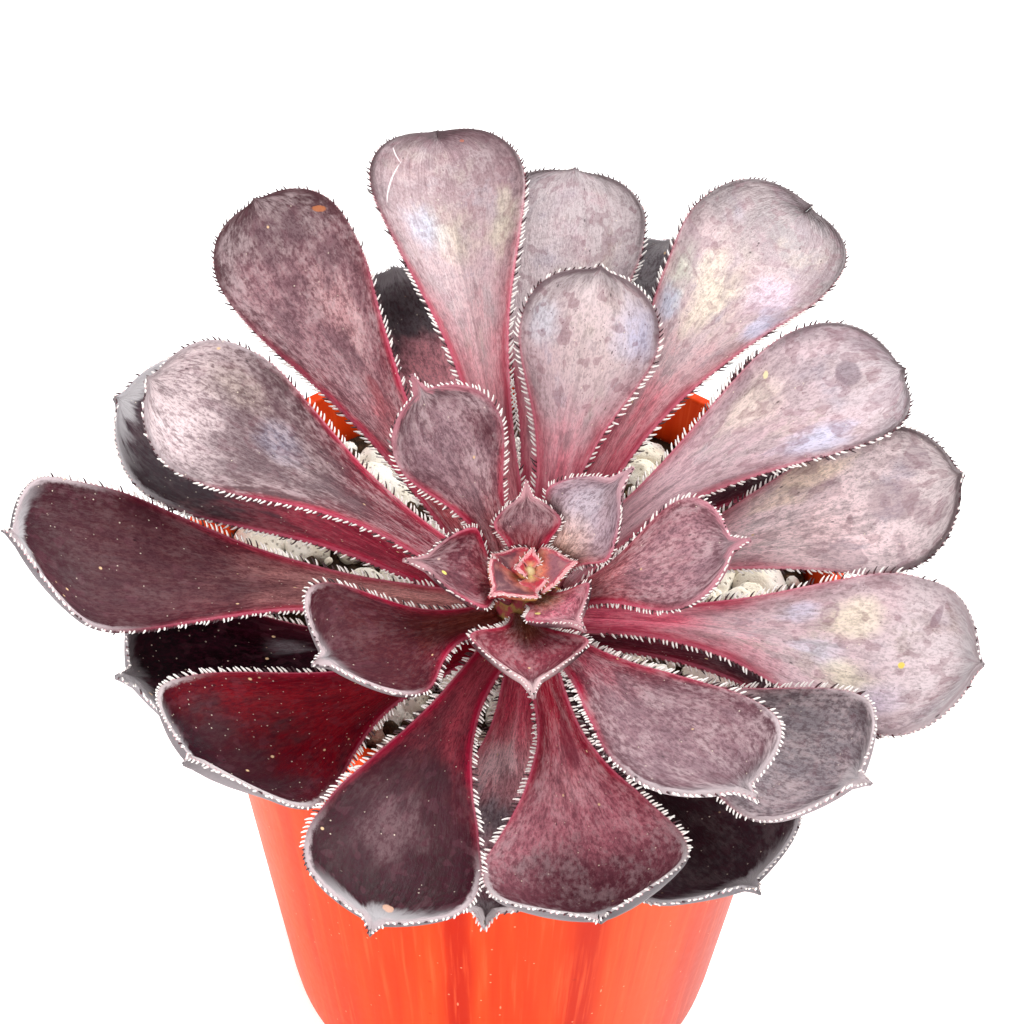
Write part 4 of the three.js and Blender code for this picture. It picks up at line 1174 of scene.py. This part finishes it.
def scarred_radius(r, z, turn):
    """The stem's radius round one ring, with the scars of old leaves in crossing spirals."""
    rise = z / 3.4
    spiral = np.cos(3 * turn + rise * 2.1) * np.cos(5 * turn - rise * 3.0)
    rough = ripple(71, np.cos(turn) * 3, np.sin(turn) * 3, np.full_like(turn, z / 1.4))
    return r * (1 - SCAR_DEPTH * smooth_step(0.2, 0.9, spiral) - BARK_ROUGHNESS * (rough + 1))


def build_stem():
    low = np.linspace(-STEM_LENGTH, -STEM_TAPER, 70)
    high = np.linspace(-STEM_TAPER, 0, 14)[1:]
    sides = [(float(stem_radius_at(z)), float(z)) for z in np.concatenate([low, high])]
    points, faces = lathe([(0, -STEM_LENGTH), *sides, (0, STEM_DOME)], STEM_SIDES, scarred_radius)
    made = new_object("stem_bark_body", from_rosette(points), faces, [stem_material()])
    settle(made, "stem")


def wall_radius_at(z):
    top = POT_RIM_RADIUS - POT_LIP_STEP
    return POT_BASE_RADIUS + (top - POT_BASE_RADIUS) * z / POT_HEIGHT


def arc(centre, radius, start_deg, end_deg, count=7):
    turn = np.radians(np.linspace(start_deg, end_deg, count))
    return [(centre[0] + radius * math.cos(a), centre[1] + radius * math.sin(a)) for a in turn]


def pot_profile():
    foot = POT_FOOT_ROUND
    lip = POT_LIP_ROUND
    lip_bottom = POT_HEIGHT - POT_LIP_DEPTH
    inner_top = wall_radius_at(POT_HEIGHT) - POT_WALL
    return [
        (0, 0),
        (POT_BASE_RADIUS - 8, 0),
        *arc((POT_BASE_RADIUS - foot, foot), foot, -90, -8),
        *[(wall_radius_at(z), z) for z in np.linspace(4, lip_bottom - 0.4, 18)],
        (wall_radius_at(lip_bottom) + 0.06, lip_bottom - 0.1),
        (wall_radius_at(lip_bottom) + 0.25, lip_bottom + 0.05),
        *arc((POT_RIM_RADIUS - lip, lip_bottom + lip + 0.1), lip, -70, 0),
        *arc((POT_RIM_RADIUS - lip, POT_HEIGHT - lip), lip, 0, 90),
        *arc((inner_top + POT_INNER_ROUND, POT_HEIGHT - POT_INNER_ROUND), POT_INNER_ROUND, 90, 180),
        *[(wall_radius_at(z) - POT_WALL, z) for z in np.linspace(POT_HEIGHT - 1.5, 4, 16)],
        *arc((wall_radius_at(POT_FLOOR + foot) - POT_WALL - foot, POT_FLOOR + foot), foot, 0, -90),
        (0, POT_FLOOR),
    ]


def slot_cutter():
    """The drain slots as one body of round-ended prisms."""
    pieces = Pieces()
    half = DRAIN_SLOT_WIDTH / 2
    straight = DRAIN_SLOT_LENGTH / 2 - half
    outline = arc((straight, 0), half, -90, 90, 9) + arc((-straight, 0), half, 90, 270, 9)
    count = len(outline)
    faces, _ = tube_faces(2, count, np.zeros(count + 1), np.zeros(2))
    for index in range(DRAIN_SLOTS):
        turn = turned(index * 360 / DRAIN_SLOTS)
        heights = (-POT_FLOOR, 2 * POT_FLOOR)
        prism = np.array([(x + DRAIN_SLOT_REACH, y, z) for z in heights for x, y in outline])
        pieces.add(prism @ turn.T, faces, 0)
    return pieces.build("drain_slot_shapes", [])


def build_pot():
    points, faces = lathe(pot_profile(), POT_SIDES)
    made = new_object("pot_wall", points, faces, [pot_material()])
    cutter = slot_cutter()
    cut = made.modifiers.new("drain_slots", "BOOLEAN")
    cut.operation = "DIFFERENCE"
    cut.object = cutter
    cut.solver = "EXACT"
    bpy.context.view_layer.update()
    graph = bpy.context.evaluated_depsgraph_get()
    cleaned = bpy.data.meshes.new_from_object(made.evaluated_get(graph))
    made.modifiers.clear()
    made.data = cleaned
    bpy.data.objects.remove(cutter)
    settle(made, "pot")


def build_potting_mix():
    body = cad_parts["potting_mix"]
    body.data.materials.clear()
    body.data.materials.append(soil_material())


def rough_stone(ball, size, seed):
    """A lump with a few flattened sides and a pitted skin."""
    random = np.random.default_rng(seed)
    points = ball * size
    for _ in range(STONE_FLATS):
        facing = random.normal(size=3)
        facing /= np.linalg.norm(facing)
        limit = size * random.uniform(*STONE_FLAT_REACH)
        over = np.maximum(points @ facing - limit, 0)
        points = points - np.outer(over * STONE_FLATNESS, facing)
    scaled = points / size
    bumps = ripple(seed, *(scaled * 3).T)
    pits = ripple(seed + 1, *(scaled * 9).T)
    return points * (1 + STONE_BUMPS * bumps + STONE_PITS * pits)[:, None]


def add_stone_bed(pieces, low, reach):
    top = [(float(r), STONE_BED_TOP) for r in np.linspace(reach, 0.6, BED_RINGS)]
    points, faces = lathe([(0, low), (reach, low), *top, (0, STONE_BED_TOP)], BED_SIDES)
    x, y, z = points.T
    raised = z > low + 1
    inside = smooth_step(reach, reach - 2, np.hypot(x, y))
    lumps = ripple(5, x * 0.9, y * 0.9) + ripple(6, x * 2.2, y * 2.2)
    points[:, 2] += raised * inside * BED_LUMPS * (lumps - 1.5)
    pieces.add(points, faces, 1)


def add_stones(pieces):
    ball, faces = unit_ball(4)
    random = seeded_random(7)
    reach = wall_radius_at(STONE_BED_TOP) - POT_WALL - CLEARANCE - STONE_RADIUS

    def random_turn(axis):
        return np.array(Matrix.Rotation(6 * next(random), 3, axis)).T

    for i in range(STONE_COUNT):
        distance = reach * math.sqrt((i + 0.5) / STONE_COUNT)
        turn = math.radians(i * GOLDEN_ANGLE_DEG + 20 * next(random))
        size = STONE_RADIUS * STONE_SWELL * (0.75 + 0.25 * next(random))
        body = rough_stone(ball, size, 900 + i) @ random_turn("X") @ random_turn("Z")
        body = body * [1, 0.8 + 0.2 * next(random), 0.75 + 0.2 * next(random)]
        body = body @ random_turn("Z")
        height = STONE_BED_TOP + 0.4 * next(random)
        pieces.add(body + [distance * math.cos(turn), distance * math.sin(turn), height], faces, 0)


def add_grit(pieces, reach):
    ball, faces = unit_ball(2)
    random = np.random.default_rng(3)
    for i in range(GRIT_COUNT):
        distance = (reach - 1.5) * math.sqrt(random.uniform(0, 1))
        turn = random.uniform(0, 2 * math.pi)
        body = rough_stone(ball, random.uniform(*GRIT_RADII), 1500 + i)
        height = STONE_BED_TOP + random.uniform(-0.2, 1.2)
        centre = [distance * math.cos(turn), distance * math.sin(turn), height]
        pieces.add(body + centre, faces, int(random.uniform(0, 1) > PALE_GRIT))


def build_top_dressing():
    pieces = Pieces()
    low = MIX_TOP + CLEARANCE
    reach = wall_radius_at(low) - POT_WALL - CLEARANCE
    add_stone_bed(pieces, low, reach)
    add_stones(pieces)
    add_grit(pieces, reach)
    made = pieces.build("pumice_dressing", [stone_material(), soil_material()])
    settle(made, "top_dressing")


# Stage, light and view
def build_stage():
    size = FLOOR_HALF_WIDTH
    corners = [(-size, -size, 0), (size, -size, 0), (size, size, 0), (-size, size, 0)]
    shade = Shade("floor_look")
    place = shade.place()
    paper = shade.mix(shade.noise(place, 0.02, 3.0), linear(250, 249, 248), linear(254, 254, 254))
    shade.bump(shade.noise(place, 0.6, 4.0), 0.05, 0.2)
    glow = dict(Emission_Color=(1, 1, 1, 1), Emission_Strength=FLOOR_GLOW)
    material = shade.finish(paper, 0.8, Specular_IOR_Level=0.2, **glow)
    floor = new_object("floor", corners, [(0, 1, 2, 3)], [material])


def aimed(made, right, up, back, spot):
    """Gives a lamp or the camera its axes and its place."""
    matrix = np.eye(4)
    matrix[:3, :3] = np.column_stack([right, up, back])
    matrix[:3, 3] = np.array(spot, float) * MM
    made.matrix_world = Matrix(matrix.tolist())
    return made


def build_light():
    world = bpy.data.worlds.new("studio")
    world.use_nodes = True
    background = world.node_tree.nodes["Background"]
    background.inputs["Color"].default_value = (1, 1, 1, 1)
    background.inputs["Strength"].default_value = SKY_STRENGTH
    bpy.context.scene.world = world
    for name, spot, aim, size, watts, color in LIGHTS:
        data = bpy.data.lights.new(name, "AREA")
        data.shape = "RECTANGLE"
        data.size = size[0] * MM
        data.size_y = size[1] * MM
        data.energy = watts
        data.color = color
        back = np.array(spot, float) - np.array(aim, float)
        back /= np.linalg.norm(back)
        right = np.cross([0, 0, 1], back)
        right /= np.linalg.norm(right)
        aimed(put_in_scene(name, data), right, np.cross(back, right), back, spot)


def build_camera():
    rise = math.radians(VIEW_RISE_DEG)
    roll = math.radians(VIEW_ROLL_DEG)
    forward = np.array([0, math.cos(rise), -math.sin(rise)])
    level = np.array([1.0, 0, 0])
    upright = np.cross(level, forward)
    right = math.cos(roll) * level + math.sin(roll) * upright
    up = -math.sin(roll) * level + math.cos(roll) * upright
    scale = VIEW_DISTANCE / VIEW_FOCUS
    eye = np.array([0, 0, POT_HEIGHT], float) - forward * VIEW_DISTANCE
    eye = eye - right * VIEW_OFF_CENTRE[0] * scale + up * VIEW_OFF_CENTRE[1] * scale
    data = bpy.data.cameras.new("photo_view")
    data.sensor_width = 36
    data.lens = VIEW_LENS
    data.clip_start = 0.01
    data.clip_end = 10
    camera = put_in_scene("photo_view", data)
    bpy.context.scene.camera = aimed(camera, right, up, -forward, eye)


build_camera()
build_light()
build_stage()
build_pot()
build_potting_mix()
build_top_dressing()
build_stem()
hairs = hair_material()
build_heart(hairs)
for leaf_index in range(len(LEAVES)):
    build_leaf(leaf_index, hairs)
bpy.context.scene.view_settings.view_transform = "Standard"
